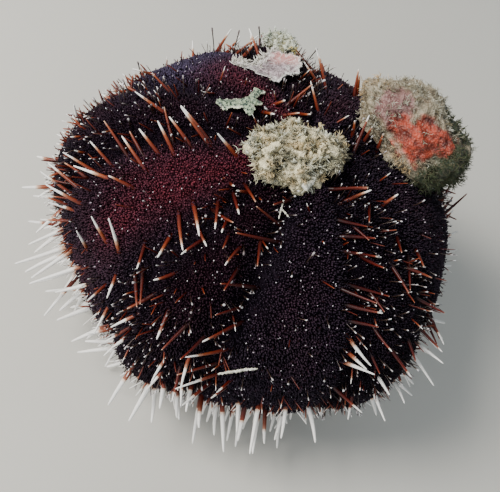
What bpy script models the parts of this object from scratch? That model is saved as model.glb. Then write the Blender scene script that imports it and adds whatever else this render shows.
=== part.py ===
# A collector urchin at life size, standing on its lower spines, with the rubble, coral and weed it carries.
#
# The body is ten meridian wedges: five wide interambulacra and five narrow ambulacra, which meet
# in shallow grooves. The spines grow along those grooves on the dome and all over the lower side.
# Z is up, the floor is at zero, and the body's own axis is vertical.

import math
import random

import bmesh
import bpy
import numpy as np
from mathutils import Matrix, Vector, noise

# Body, in metres
body_radius = 0.060  # axis to the velvet at the widest level
dome_rise = 0.0485  # widest level up to the apex
underside_drop = 0.0335  # widest level down to the underside
floor_clearance = 0.0035  # underside above the floor
widest_level = floor_clearance + underside_drop
dome_power = 2.2  # 2 is an ellipse, more is squarer
underside_power = 2.5
groove_depth = 0.0021
groove_width = math.radians(6.0)
node_gap = 0.0003
core_radius = 0.0015  # where the wedges end, beside the axis

# Five corners, and the slight lopsidedness of this animal: waves round the body, share of the radius, peak
first_ambulacrum = math.radians(50)
corner_swell = 0.040
growth_waves = (
    (1, 0.030, math.radians(14)),
    (2, 0.020, math.radians(16)),
    (3, 0.015, math.radians(43)),
)
# Where one side stands out and another falls back: share of the radius, middle and width
side_forms = (
    (0.036, math.radians(206), math.radians(15)),
    (-0.055, math.radians(280), math.radians(36)),
)
fifth = math.radians(72)
interambulacrum_half = math.radians(21)
ambulacrum_half = math.radians(15)

# Crown and mouth
crown_radius = 0.0070
crown_depth = 0.0040
crown_sink = 0.0006
mouth_radius = 0.0140
mouth_depth = 0.0050
tooth_length = 0.0042

# Spines: length beyond the velvet, width at the root and at the tip
dome_spine = (0.0108, 0.00115, 0.00062)
edge_spine = (0.0165, 0.00150, 0.00066)
mouth_spine = (0.0070, 0.00110, 0.00060)
dome_ring_step = 0.0051
low_ring_step = 0.0072
low_spine_step = 0.0084
spine_root = 0.0019
spine_clearance = 0.00045
tube_foot = (0.0085, 0.00062, 0.00100)  # length, stalk width, sucker width

wedge_levels = 17
draw = random.Random(41)
taken = []  # every spine and tube foot so far: foot, tip, radius


def mix(a, b, share):
    return a + (b - a) * min(1.0, max(0.0, share))


def wrap(angle):
    """The angle brought between minus and plus half a turn."""
    return (angle + math.pi) % (2 * math.pi) - math.pi


def swell(azimuth):
    """How far the outline stands out from a circle, as a share of the radius."""
    share = corner_swell * math.cos(5 * (azimuth - first_ambulacrum))
    for waves, height, peak in growth_waves:
        share += height * math.cos(waves * (azimuth - peak))
    for height, middle, width in side_forms:
        share += height * math.exp(-((wrap(azimuth - middle) / width) ** 2))
    return share


def groove(azimuth):
    """1 in the middle of a spine strip, falling to 0 on the cushions beside it."""
    from_ambulacrum = abs(wrap((azimuth - first_ambulacrum) % fifth * 5)) / 5
    from_cut = abs(from_ambulacrum - ambulacrum_half)
    return math.exp(-((from_cut / groove_width) ** 2))


def body_point(azimuth, rise, lift=0.0):
    """A spot on the velvet. The rise is 90 degrees at the apex, 0 at the widest level."""
    power, height = (dome_power, dome_rise) if rise >= 0 else (underside_power, underside_drop)
    out = abs(math.cos(rise)) ** (2 / power)
    level = math.copysign(height * abs(math.sin(rise)) ** (2 / power), rise)
    calm = min(1.0, max(0.0, (out - 0.25) / 0.3))
    radius = body_radius * out * (1 + swell(azimuth) * calm)
    length = math.hypot(radius, level)
    scale = (length - groove_depth * groove(azimuth) * calm + lift) / length
    x, y = math.cos(azimuth), math.sin(azimuth)
    return Vector((radius * scale * x, radius * scale * y, widest_level + level * scale))


def body_frame(azimuth, rise):
    """Normal, direction of growing azimuth and direction towards the apex, at a spot on the velvet."""
    step = 0.01
    across = body_point(azimuth + step, rise) - body_point(azimuth - step, rise)
    upward = body_point(azimuth, rise + step) - body_point(azimuth, rise - step)
    normal = across.cross(upward).normalized()
    upward.normalize()
    return normal, upward.cross(normal), upward


def body_place(point):
    """Azimuth, rise and height over the velvet of a point outside the body."""
    azimuth = math.atan2(point.y, point.x)
    level = point.z - widest_level
    power, height = (dome_power, dome_rise) if level >= 0 else (underside_power, underside_drop)
    out = math.hypot(point.x, point.y) / (body_radius * (1 + swell(azimuth)))
    rise = math.atan2((abs(level) / height) ** (power / 2), out ** (power / 2))
    rise = math.copysign(rise, level)
    middle = Vector((0, 0, widest_level))
    spot = body_point(azimuth, rise)
    return azimuth, rise, (point - middle).length - (spot - middle).length


def rise_of_radius(radius, side):
    """Rise at which the body has this radius, on the dome for side 1 and on the underside for -1."""
    power = dome_power if side > 0 else underside_power
    return side * math.acos((radius / body_radius) ** (power / 2))


crown_rise = rise_of_radius(crown_radius + node_gap, 1)
mouth_rise = rise_of_radius(mouth_radius + node_gap, -1)


def rises_by_arc(start, end, step):
    """Rises from start to end that are one step apart along the meridian."""
    fine = [start + (end - start) * i / 400 for i in range(401)]
    points = [body_point(first_ambulacrum, rise) for rise in fine]
    lengths = np.cumsum([0.0] + [(b - a).length for a, b in zip(points, points[1:])])
    count = round(lengths[-1] / step)
    wanted = np.linspace(0, lengths[-1], count + 1)
    return [float(rise) for rise in np.interp(wanted, lengths, fine)]


def add_object(name, bm, material=None):
    """A mesh object from a bmesh, with its faces pointing out."""
    bmesh.ops.recalc_face_normals(bm, faces=bm.faces)
    mesh = bpy.data.meshes.new(name)
    bm.to_mesh(mesh)
    bm.free()
    made = bpy.data.objects.new(name, mesh)
    bpy.context.scene.collection.objects.link(made)
    if material:
        mesh.materials.append(material)
    return made


def finish_material(name, colour, roughness):
    made = bpy.data.materials.new(name)
    made.use_nodes = True
    shader = made.node_tree.nodes["Principled BSDF"]
    shader.inputs["Base Color"].default_value = (*colour, 1.0)
    shader.inputs["Roughness"].default_value = roughness
    shader.inputs["Metallic"].default_value = 0.0
    made.diffuse_color = (*colour, 1.0)
    return made


def keep_largest(bm):
    """Triangulates the result of a union and drops every closed surface but the largest."""
    between = [vert for vert in bm.verts if len(vert.link_edges) == 2]
    bmesh.ops.dissolve_verts(bm, verts=between)
    bmesh.ops.triangulate(bm, faces=bm.faces)
    left, islands = set(bm.faces), []
    while left:
        island, edge = set(), [left.pop()]
        while edge:
            face = edge.pop()
            island.add(face)
            for side in face.edges:
                for other in side.link_faces:
                    if other in left:
                        left.remove(other)
                        edge.append(other)
        islands.append(island)
    biggest = max(islands, key=lambda island: sum(face.calc_area() for face in island))
    bmesh.ops.delete(bm, geom=[face for face in bm.faces if face not in biggest], context="FACES")


def combine(target, others, operation):
    """Joins to the target, or cuts from it, a list of closed objects, which are then removed."""
    group = bpy.data.collections.new(target.name + "_pieces")
    bpy.context.scene.collection.children.link(group)
    for other in others:
        group.objects.link(other)
        bpy.context.scene.collection.objects.unlink(other)
    boolean = target.modifiers.new("combine", "BOOLEAN")
    boolean.operation = operation
    boolean.operand_type = "COLLECTION"
    boolean.collection = group
    boolean.solver = "EXACT"
    graph = bpy.context.evaluated_depsgraph_get()
    bm = bmesh.new()
    bm.from_object(target, graph)
    keep_largest(bm)
    target.modifiers.remove(boolean)
    bm.to_mesh(target.data)
    bm.free()
    for other in others:
        bpy.data.objects.remove(other)
    bpy.data.collections.remove(group)


def rings_to_mesh(rings):
    """A closed bmesh through rings of points, each with as many points, with flat ends."""
    bm = bmesh.new()
    loops = [[bm.verts.new(point) for point in ring] for ring in rings]
    for lower, upper in zip(loops, loops[1:]):
        for i in range(len(lower)):
            j = (i + 1) % len(lower)
            bm.faces.new((lower[i], lower[j], upper[j], upper[i]))
    bm.faces.new(loops[0])
    bm.faces.new(loops[-1])
    return bm


def ring(centre, axis, width, sides, turn=0.0):
    """Points round a centre, square to an axis, as wide across their corners as the width."""
    side = axis.orthogonal().normalized()
    other = axis.cross(side)
    angles = [turn + 2 * math.pi * i / sides for i in range(sides)]
    return [centre + (side * math.cos(a) + other * math.sin(a)) * width / 2 for a in angles]


def wedge_column(azimuth, cut_side):
    """The outline of a wedge in one plane through the axis, moved off the cut where it is one."""
    rises = [mouth_rise + (crown_rise - mouth_rise) * i / wedge_levels for i in range(wedge_levels + 1)]
    outer = [body_point(azimuth, rise) for rise in rises]
    direction = Vector((math.cos(azimuth), math.sin(azimuth), 0))
    mouth_roof = floor_clearance + mouth_depth + node_gap
    crown_floor = widest_level + dome_rise - crown_depth - node_gap
    column = [direction * core_radius + Vector((0, 0, mouth_roof))]
    column.append(Vector((outer[0].x, outer[0].y, mouth_roof)))
    column += outer
    column.append(Vector((outer[-1].x, outer[-1].y, crown_floor)))
    column.append(direction * core_radius + Vector((0, 0, crown_floor)))
    aside = Vector((-direction.y, direction.x, 0)) * cut_side * node_gap / 2
    return [point + aside for point in column]


def close_cut(bm, column):
    """Fills the flat cut of a wedge with triangles that fan out from its four inner corners in turn."""
    low_core, low_wall, *outer, high_wall, high_core = column
    corners = [low_wall, low_core, high_core, high_wall]
    stage = 0
    for one, other in zip(outer, outer[1:]):
        is_done = [
            one.co.z > low_wall.co.z,
            one.co.z > widest_level,
            other.co.z > high_core.co.z,
            False,
        ]
        if is_done[stage]:
            bm.faces.new((corners[stage], one, corners[stage + 1]))
            stage += 1
        bm.faces.new((corners[stage], one, other))


def wedge(name, middle, offsets, material):
    """One wedge of the body, from beside the axis out to the velvet."""
    bm = bmesh.new()
    columns = []
    for offset in offsets:
        cut_side = {offsets[0]: 1, offsets[-1]: -1}.get(offset, 0)
        columns.append([bm.verts.new(point) for point in wedge_column(middle + offset, cut_side)])
    for left, right in zip(columns, columns[1:]):
        for i in range(len(left)):
            j = (i + 1) % len(left)
            bm.faces.new((left[i], left[j], right[j], right[i]))
    close_cut(bm, columns[0])
    close_cut(bm, columns[-1])
    return add_object(name, bm, material)


def inside_wedge(point, middle, half, margin):
    """Whether a point keeps this margin to both cuts of its wedge."""
    away = abs(wrap(math.atan2(point.y, point.x) - middle))
    return math.hypot(point.x, point.y) * math.sin(half - away) > margin


def clear_of_taken(foot, tip, radius):
    """Whether a new spine keeps clear of all the spines and tube feet so far."""
    if not taken:
        return True
    a = np.array([t[0] for t in taken])
    b = np.array([t[1] for t in taken])
    room = np.array([t[2] for t in taken]) + radius + spine_clearance
    for share in np.linspace(0, 1, 13):
        point = np.array(foot.lerp(tip, share))
        along = np.clip(((point - a) * (b - a)).sum(1) / ((b - a) ** 2).sum(1), 0, 1)
        if (np.linalg.norm(a + (b - a) * along[:, None] - point, axis=1) < room).any():
            return False
    return True


def clear_of_debris(foot, tip, radius):
    for share in (0.0, 0.2, 0.4, 0.6, 0.8, 1.0):
        point = foot.lerp(tip, share)
        for load in loads:
            if load.holds(point, radius + spine_clearance):
                return False
    return True


def fits(foot, tip, root, radius, middle, half):
    """Whether a spine or tube foot may stand here."""
    margin = radius + node_gap
    if not (inside_wedge(foot, middle, half, margin) and inside_wedge(root, middle, half, margin)):
        return False
    for share in (0.25, 0.5, 0.75, 1.0):
        point = foot.lerp(tip, share)
        if not inside_wedge(point, middle, half, margin) and body_place(point)[2] < 2 * margin:
            return False
    return clear_of_debris(foot, tip, radius) and clear_of_taken(foot, tip, radius)


def spine_size(rise):
    """Length, root width and tip width of a spine that grows at this rise."""
    degrees = math.degrees(rise)
    if degrees >= -6:
        share, low, high = (degrees + 6) / 10, edge_spine, dome_spine
    else:
        share, low, high = (degrees + 62) / 34, mouth_spine, edge_spine
    return [mix(a, b, share) for a, b in zip(low, high)]


def spine_direction(azimuth, rise, side, half):
    """Where a spine points: over the narrow band on the dome, out and down at the edge, out below."""
    normal, across, upward = body_frame(azimuth, rise)
    on_dome = (math.degrees(rise) + 4) / 12
    below = min(1.0, max(0.0, (-30 - math.degrees(rise)) / 15))
    over = 0.85 if half > ambulacrum_half else 0.25
    lean_across = side * mix(0.18, over, on_dome) + draw.uniform(-0.22, 0.22)
    lean_up = 0.65 * below - mix(0.22, 0.75 - 0.55 * over, on_dome) + draw.uniform(-0.18, 0.18)
    return (normal + across * lean_across + upward * lean_up).normalized()


def spine(azimuth, rise, side, middle, half):
    """One spine as a tapered four-sided prism, or nothing where it finds no room."""
    for _ in range(9):
        length, root_width, tip_width = spine_size(rise)
        length *= draw.uniform(0.84, 1.12)
        direction = spine_direction(azimuth, rise, side, half)
        foot = body_point(azimuth, rise)
        tip = foot + direction * length
        stands = tip.z < 0.0006
        if stands:
            tip = foot + direction * (foot.z / -direction.z)
        root = foot - direction * spine_root
        if fits(foot, tip, root, root_width / 2, middle, half):
            break
        azimuth += draw.uniform(-0.018, 0.018)
        rise += draw.uniform(-0.012, 0.012)
    else:
        return None
    taken.append((foot, tip, root_width / 2))
    turn = draw.uniform(0, math.pi / 2)
    end = ring(tip, direction, tip_width, 4, turn)
    if stands:
        end = [Vector((point.x, point.y, 0.0)) for point in end]
    return add_object("spine", rings_to_mesh([ring(root, direction, root_width, 4, turn), end]))


def tube_foot_piece(azimuth, rise, side, middle, half):
    """A thin stalk with a wider sucker at its end."""
    length, stalk, sucker = tube_foot
    normal, across, upward = body_frame(azimuth, rise)
    direction = (normal + across * side * 0.3 + upward * draw.uniform(-0.2, 0.5)).normalized()
    foot = body_point(azimuth, rise)
    tip = foot + direction * length * draw.uniform(0.85, 1.15)
    root = foot - direction * spine_root
    if not fits(foot, tip, root, sucker / 2, middle, half):
        return None
    taken.append((foot, tip, sucker / 2))
    neck = tip - direction * sucker * 0.7
    rings = [ring(root, direction, stalk, 4), ring(neck, direction, stalk, 4), ring(tip, direction, sucker, 4)]
    return add_object("tube_foot", rings_to_mesh(rings))


def dome_rows(half, shares, rises):
    """Spine places in rows beside the cuts, as offset from the wedge's middle, rise and side."""
    places = []
    for level, rise in enumerate(rises):
        for share, every in shares:
            if level % every == 0 or math.degrees(rise) < 12:
                places += [(half * share, rise, 1), (-half * share, rise, -1)]
    return places


def low_rows(middle, half, rises):
    """Spine places all over the lower side, a step apart in each ring."""
    places = []
    for level, rise in enumerate(rises):
        spot = body_point(middle, rise)
        width = 2 * half * math.hypot(spot.x, spot.y)
        count = max(1, round(width / low_spine_step))
        for i in range(count):
            share = (i + 0.5) / count * 2 - 1 + (0.22 if level % 2 else -0.22) * 2 / count
            places.append((half * share, rise, math.copysign(1, share) * (1 if i else 0)))
    return places


class Load:
    """Something the urchin carries: a lump on the velvet, as wide, long and high as its half sizes.

    The lobes make its outline stand out or fall back: direction in degrees, share of the reach, width.
    """

    def __init__(self, azimuth, rise, heading, half_length, half_width, height, lift=0.0, lobes=()):
        self.spot = body_point(math.radians(azimuth), math.radians(rise))
        normal, across, upward = body_frame(math.radians(azimuth), math.radians(rise))
        heading = math.radians(heading)
        self.long = across * math.cos(heading) + upward * math.sin(heading)
        self.wide = normal.cross(self.long)
        self.up = normal
        self.half_sizes = Vector((half_length, half_width, height))
        self.centre = self.spot + normal * lift
        self.lobes = [[math.radians(turn), share, math.radians(width)] for turn, share, width in lobes]

    def reach(self, along, aside):
        """How far the outline reaches in a direction, 1 where no lobe changes it."""
        turn = math.atan2(aside, along)
        return 1 + sum(
            share * math.exp(-((wrap(turn - middle) / width) ** 2)) for middle, share, width in self.lobes
        )

    def place(self, along, aside, above):
        """A point from shares of the half sizes."""
        sizes = self.half_sizes
        return (
            self.centre
            + self.long * along * sizes.x
            + self.wide * aside * sizes.y
            + self.up * above * sizes.z
        )

    def holds(self, point, margin):
        """Whether a point lies in the lump or within a margin of it."""
        away = point - self.centre
        along, aside = away.dot(self.long), away.dot(self.wide)
        reach = self.reach(along / self.half_sizes.x, aside / self.half_sizes.y)
        shares = (
            along / (self.half_sizes.x * reach + margin),
            aside / (self.half_sizes.y * reach + margin),
            away.dot(self.up) / (self.half_sizes.z + margin),
        )
        return sum(share * share for share in shares) < 1.15


rubble_load = Load(47, 62, -140, 0.0197, 0.0118, 0.0116, lift=0.0052)
coral_load = Load(
    268, 86, 46, 0.0152, 0.0096, 0.0054, lift=0.0006, lobes=((35, -0.44, 36), (-142, 0.14, 34), (92, 0.06, 14))
)
crust_load = Load(134.5, 60.5, -60, 0.0110, 0.0068, 0.0025, lift=0.0010)
weed_load = Load(179.5, 71, 111, 0.0076, 0.0060, 0.0024, lift=0.0004)
tuft_load = Load(124, 50, -64, 0.0072, 0.0042, 0.0042, lift=0.0022)
loads = [rubble_load, coral_load, crust_load, weed_load, tuft_load]


def lump(name, load, detail, roughness, grain, material):
    """A rounded lump with an uneven surface, filling the load's half sizes."""
    bm = bmesh.new()
    bmesh.ops.create_icosphere(bm, subdivisions=detail, radius=1.0)
    for vert in bm.verts:
        bump = 1 + roughness * noise.noise(vert.co * grain + load.spot * 900)
        reach = load.reach(vert.co.x, vert.co.y) if vert.co.xy.length > 1e-6 else 1.0
        shares = vert.co * bump * 0.94
        vert.co = load.place(shares.x * reach, shares.y * reach, shares.z)
    return add_object(name, bm, material)


def fingers(load, count, length, root_width):
    """Short tapered branches that stand out of a lump all round."""
    made = []
    for _ in range(count):
        turn, lift = draw.uniform(0, 2 * math.pi), draw.uniform(0.06, 0.95)
        level = math.sqrt(1 - lift * lift)
        out = Vector((math.cos(turn) * level, math.sin(turn) * level, lift))
        reach = load.reach(out.x, out.y)
        foot = load.place(out.x * reach * 0.70, out.y * reach * 0.70, out.z * 0.70)
        ray = load.place(out.x * reach, out.y * reach, out.z) - load.centre
        jitter = Vector([draw.uniform(-0.35, 0.35) for _ in range(3)])
        direction = (ray.normalized() + jitter + load.up * 0.25).normalized()
        size = length * draw.uniform(0.7, 1.2) + ray.length * 0.27
        rings = [ring(foot, direction, root_width, 4), ring(foot + direction * size, direction, 0.0007, 4)]
        made.append(add_object("finger", rings_to_mesh(rings)))
    return made


def velvet_envelope():
    """The whole body grown by the node gap: it cuts the underside of everything that lies on the velvet."""
    columns = sorted({middle + offset for middle, offsets, _ in wedges() for offset in offsets})
    rises = [crown_rise + (mouth_rise - crown_rise) * i / wedge_levels for i in range(wedge_levels + 1)]
    columns = [azimuth for azimuth in columns if azimuth < columns[0] + 2 * math.pi - 1e-6]
    lift = 1.25 * node_gap
    return add_object(
        "velvet_envelope", rings_to_mesh([[body_point(a, rise, lift) for a in columns] for rise in rises])
    )


def settle(load_object, extras=()):
    """Joins the extras to a carried piece and cuts it where it lies on the velvet."""
    if extras:
        combine(load_object, list(extras), "UNION")
    combine(load_object, [velvet_envelope()], "DIFFERENCE")


def blade(load, start, end, width, thickness):
    """A flat strip of weed between two places given as shares of the load's half sizes."""
    a, b = load.place(*start), load.place(*end)
    side = (b - a).cross(load.up).normalized() * width / 2
    top, low = load.up * thickness, load.up * -0.002
    rings = [[p - side + low, p + side + low, p + side * 0.8 + top, p - side * 0.8 + top] for p in (a, b)]
    return add_object("blade", rings_to_mesh(rings))


def carried_pieces():
    """Rubble, coral, crust, weed and a tuft, each in its own node."""
    stone = finish_material("rubble", (0.42, 0.24, 0.18), 0.85)
    pale = finish_material("coral", (0.66, 0.62, 0.47), 0.8)
    pink = finish_material("crust", (0.72, 0.56, 0.52), 0.7)
    green = finish_material("weed", (0.55, 0.62, 0.47), 0.6)
    settle(lump("carried_rubble", rubble_load, 4, 0.22, 1.7, stone))
    settle(
        lump("carried_coral", coral_load, 3, 0.40, 2.2, pale),
        fingers(coral_load, 46, 0.0020, 0.0019),
    )
    settle(lump("carried_crust", crust_load, 3, 0.30, 1.9, pink))
    settle(
        lump("carried_tuft", tuft_load, 2, 0.35, 1.6, pale),
        fingers(tuft_load, 16, 0.0016, 0.0015),
    )
    stem = blade(weed_load, (-0.92, 0.07, 0), (0.55, -0.06, 0), 0.0034, 0.0012)
    stem.name = "carried_weed"
    stem.data.materials.append(green)
    forks = [
        blade(weed_load, (0.36, -0.04, 0), (0.76, 0.66, 0), 0.0030, 0.0013),
        blade(weed_load, (0.36, -0.04, 0), (0.74, -0.64, 0), 0.0032, 0.0011),
    ]
    settle(stem, forks)


def disc_rings(radius, base, top, sides, steps):
    """Rings of a plug from its flat base to its top, whose level is a function of the radius."""
    rings = [[(radius, base)]]
    rings += [[(radius * (1 - i / steps), top(radius * (1 - i / steps)))] for i in range(steps)]
    points = []
    for ((r, level),) in rings:
        angles = [2 * math.pi * i / sides for i in range(sides)]
        points.append([Vector((r * math.cos(a), r * math.sin(a), level)) for a in angles])
    return points


def crown_level(radius):
    """Level of the velvet over the axis at this radius, less the crown's sink."""
    share = (1 - (radius / body_radius) ** dome_power) ** (1 / dome_power)
    return widest_level + dome_rise * share - crown_sink


def crown_plate(turn, distance, width, height):
    """A raised plate of the crown, with five sides."""
    middle = Vector((distance * math.cos(turn), distance * math.sin(turn), 0))
    rings = []
    for size, lift in ((1.0, -0.0012), (1.0, height * 0.5), (0.72, height)):
        centre = middle + Vector((0, 0, crown_level(distance) + lift))
        rings.append(ring(centre, Vector((0, 0, 1)), width * size, 5, turn))
    return add_object("crown_plate", rings_to_mesh(rings))


def crown():
    """The plates at the apex: five genital plates, five ocular plates between them, and the vent."""
    skin = finish_material("crown", (0.10, 0.05, 0.06), 0.6)
    base = widest_level + dome_rise - crown_depth
    made = add_object("crown", rings_to_mesh(disc_rings(crown_radius, base, crown_level, 30, 3)), skin)
    pieces = [crown_plate(0, 0, 0.0024, 0.00035)]
    for i in range(5):
        genital = first_ambulacrum + fifth * (i + 0.5)
        pieces.append(crown_plate(genital, 0.0034, 0.0030, 0.0004))
        pieces.append(crown_plate(first_ambulacrum + fifth * i, 0.0051, 0.0019, 0.0003))
    combine(made, pieces, "UNION")


def tooth(turn):
    """One of the five teeth, a curved chisel whose tip meets the others under the mouth."""
    out = Vector((math.cos(turn), math.sin(turn), 0))
    rings = []
    for distance, drop, width in ((0.0052, -0.0012, 0.0026), (0.0036, 0.35, 0.0022), (0.0010, 1.0, 0.0011)):
        level = floor_clearance + 0.0022 - (drop * tooth_length * 0.6 if drop > 0 else drop)
        rings.append(ring(out * distance + Vector((0, 0, level)), Vector((0, 0, 1)), width, 4, turn))
    return add_object("tooth", rings_to_mesh(rings))


def mouth_level(radius):
    """The mouth's skin is a low cone that hangs towards its middle."""
    return floor_clearance + 0.0012 + 0.0010 * math.cos(math.pi * radius / mouth_radius)


def mouth():
    """The skin round the mouth, with the tips of the five teeth and the ten short feet round them."""
    skin = finish_material("mouth", (0.16, 0.07, 0.07), 0.55)
    roof = floor_clearance + mouth_depth
    made = add_object("mouth", rings_to_mesh(disc_rings(mouth_radius, roof, mouth_level, 30, 4)), skin)
    pieces = [tooth(first_ambulacrum + fifth * i) for i in range(5)]
    for i in range(10):
        turn = first_ambulacrum + fifth * (i // 2) + (0.22 if i % 2 else -0.22)
        foot = Vector((math.cos(turn), math.sin(turn), 0)) * mouth_radius * 0.66
        top = foot + Vector((0, 0, floor_clearance + 0.0030))
        end = foot * 1.04 + Vector((0, 0, floor_clearance - 0.0012))
        axis = (end - top).normalized()
        pieces.append(add_object("foot", rings_to_mesh([ring(top, axis, 0.0013, 5), ring(end, axis, 0.0016, 5)])))
    combine(made, pieces, "UNION")


def wedges():
    """Middle azimuth, column offsets and name of each wedge, round the body."""
    wide = [interambulacrum_half * share for share in (-1, -0.68, -0.36, 0, 0.36, 0.68, 1)]
    narrow = [ambulacrum_half * share for share in (-1, -0.52, 0, 0.52, 1)]
    found = []
    for i in range(5):
        middle = first_ambulacrum + fifth * i
        found.append((middle, narrow, f"ambulacrum_{i + 1}"))
        found.append((middle + fifth / 2, wide, f"interambulacrum_{i + 1}"))
    return found


def spiny_wedge(middle, offsets, name, material):
    """A wedge of the body with its spines and, on an ambulacrum, its tube feet, as one closed solid."""
    half = offsets[-1]
    is_wide = half > ambulacrum_half
    made = wedge(name, middle, offsets, material)
    dome_rises = rises_by_arc(math.radians(79), math.radians(4), dome_ring_step)
    low_rises = rises_by_arc(math.radians(-3), math.radians(-72), low_ring_step)
    shares = ((0.80, 1), (0.56, 3)) if is_wide else ((0.62, 2), (0.25, 5))
    places = dome_rows(half, shares, dome_rises) + low_rows(middle, half, low_rises)
    pieces = []
    for offset, rise, side in places:
        azimuth = middle + offset + draw.uniform(-0.012, 0.012)
        pieces.append(spine(azimuth, rise + draw.uniform(-0.012, 0.012), side, middle, half))
    if not is_wide:
        for rise in (74, 62, 49, 36, 22):
            side = draw.choice((-1, 1))
            azimuth = middle + half * side * 0.52
            pieces.append(tube_foot_piece(azimuth, math.radians(rise), side, middle, half))
    combine(made, [piece for piece in pieces if piece], "UNION")


def centre_on_floor(objects):
    """Moves the whole so that the floor and the middle of its outline are at the origin."""
    corners = [Vector(corner) for made in objects for corner in made.bound_box]
    low = Vector([min(corner[i] for corner in corners) for i in range(3)])
    high = Vector([max(corner[i] for corner in corners) for i in range(3)])
    shift = Vector((-(low.x + high.x) / 2, -(low.y + high.y) / 2, 0))
    for made in objects:
        made.data.transform(Matrix.Translation(shift))


def main():
    for old in list(bpy.data.objects):
        bpy.data.objects.remove(old)
    velvet = finish_material("velvet", (0.060, 0.022, 0.035), 0.75)
    for middle, offsets, name in wedges():
        spiny_wedge(middle, offsets, name, velvet)
    carried_pieces()
    crown()
    mouth()
    centre_on_floor(list(bpy.context.scene.objects))


main()
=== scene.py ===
import math

import bmesh
import bpy
import numpy as np
from mathutils import Matrix, Vector, noise


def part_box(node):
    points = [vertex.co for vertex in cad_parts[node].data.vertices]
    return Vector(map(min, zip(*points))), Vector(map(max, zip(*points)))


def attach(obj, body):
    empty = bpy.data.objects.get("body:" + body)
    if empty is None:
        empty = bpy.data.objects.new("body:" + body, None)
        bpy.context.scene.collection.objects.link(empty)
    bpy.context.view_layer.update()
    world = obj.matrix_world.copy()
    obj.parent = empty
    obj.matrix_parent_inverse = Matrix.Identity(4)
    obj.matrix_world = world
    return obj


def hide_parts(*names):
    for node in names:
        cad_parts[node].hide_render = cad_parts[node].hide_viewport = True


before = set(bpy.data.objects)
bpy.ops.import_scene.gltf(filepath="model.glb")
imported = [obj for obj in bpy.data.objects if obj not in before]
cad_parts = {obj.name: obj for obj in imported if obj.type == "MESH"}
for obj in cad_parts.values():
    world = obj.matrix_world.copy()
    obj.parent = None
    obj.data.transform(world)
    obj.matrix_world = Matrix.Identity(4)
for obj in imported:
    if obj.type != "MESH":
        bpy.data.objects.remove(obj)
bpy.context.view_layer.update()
print("frame loaded")

# the same body as the solids, in metres: the velvet's outer surface
body = {
    "radius": 0.060,
    "domeRise": 0.0485,
    "undersideDrop": 0.0335,
    "floorClearance": 0.0035,
    "domePower": 2.2,
    "undersidePower": 2.5,
    "grooveDepth": 0.0021,
    "grooveWidth": math.radians(6.0),
    "firstCorner": math.radians(50),
    "cornerSwell": 0.040,
    "growthWaves": ((1, 0.030, 14), (2, 0.020, 16), (3, 0.015, 43)),  # waves round, height, peak in degrees
    "sideForms": ((0.036, 206, 15), (-0.055, 280, 36)),  # height, middle and width in degrees
    "narrowHalf": math.radians(15),
    "calmPole": (0.25, 0.3),  # share of the radius where the swellings start, and over how much they grow
}
fullTurn = 2 * math.pi
fifth = math.radians(72)
level = body["floorClearance"] + body["undersideDrop"]  # height of the widest ring
middle = np.array([0.0, 0.0, level])
crownLow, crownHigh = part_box("crown")
# from the body's axis to the row's origin
axisShift = Vector(((crownLow[0] + crownHigh[0]) / 2, (crownLow[1] + crownHigh[1]) / 2, 0))
dice = np.random.default_rng(7)


# curves and noise, for arrays

def unit(rows):
    rows = np.asarray(rows, float)
    return rows / np.maximum(np.linalg.norm(rows, axis=-1, keepdims=True), 1e-12)


def ease(values, start, width):  # 0 up to the start, 1 from a width further on
    return np.clip((values - start) / width, 0, 1)


def hump(turns, peak, width):  # 1 at the peak, less to both sides; peak and width in degrees
    away = (turns - math.radians(peak) + math.pi) % fullTurn - math.pi
    return np.exp(-((away / math.radians(width)) ** 2))


def noiseAt(points, grain, shift=(0, 0, 0)):
    shift = Vector(shift)
    return np.array([noise.noise(Vector(point) * grain + shift) for point in points])


# the body's surface, for arrays of azimuths and rises in radians

def fromCorner(azimuth):  # 0 in the middle of a narrow band, 36 degrees in the middle of a wide one
    turn = ((azimuth - body["firstCorner"]) % fifth) * 5
    return np.abs((turn + math.pi) % fullTurn - math.pi) / 5


def stripShare(azimuth, width=1.0):  # 1 in the grooves where two bands meet
    away = np.abs(fromCorner(azimuth) - body["narrowHalf"])
    return np.exp(-((away / (body["grooveWidth"] * width)) ** 2))


def swellAt(azimuth):
    swell = body["cornerSwell"] * np.cos(5 * (azimuth - body["firstCorner"]))
    for waves, share, peak in body["growthWaves"]:
        swell = swell + share * np.cos(waves * (azimuth - math.radians(peak)))
    for share, peak, width in body["sideForms"]:
        swell = swell + share * hump(azimuth, peak, width)
    return swell


def halfForm(isDome):  # power and height of the dome, or of the underside
    power = np.where(isDome, body["domePower"], body["undersidePower"])
    return power, np.where(isDome, body["domeRise"], body["undersideDrop"])


def bodyPoints(azimuth, rise, lift=0.0):
    azimuth, rise, lift = np.broadcast_arrays(*[np.asarray(value, float) for value in (azimuth, rise, lift)])
    power, height = halfForm(rise >= 0)
    out = np.abs(np.cos(rise)) ** (2 / power)
    up = np.sign(rise) * height * np.abs(np.sin(rise)) ** (2 / power)
    calm = ease(out, *body["calmPole"])
    radius = body["radius"] * out * (1 + swellAt(azimuth) * calm)
    length = np.maximum(np.hypot(radius, up), 1e-9)
    scale = (length - body["grooveDepth"] * stripShare(azimuth) * calm + lift) / length
    radius = radius * scale
    return np.stack([radius * np.cos(azimuth), radius * np.sin(azimuth), level + up * scale], -1)


def bodyFrames(azimuth, rise, step=0.01):
    across = bodyPoints(azimuth + step, rise) - bodyPoints(azimuth - step, rise)
    upward = bodyPoints(azimuth, rise + step) - bodyPoints(azimuth, rise - step)
    normal = unit(np.cross(across, upward))
    upward = unit(upward)
    return normal, np.cross(upward, normal), upward


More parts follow.
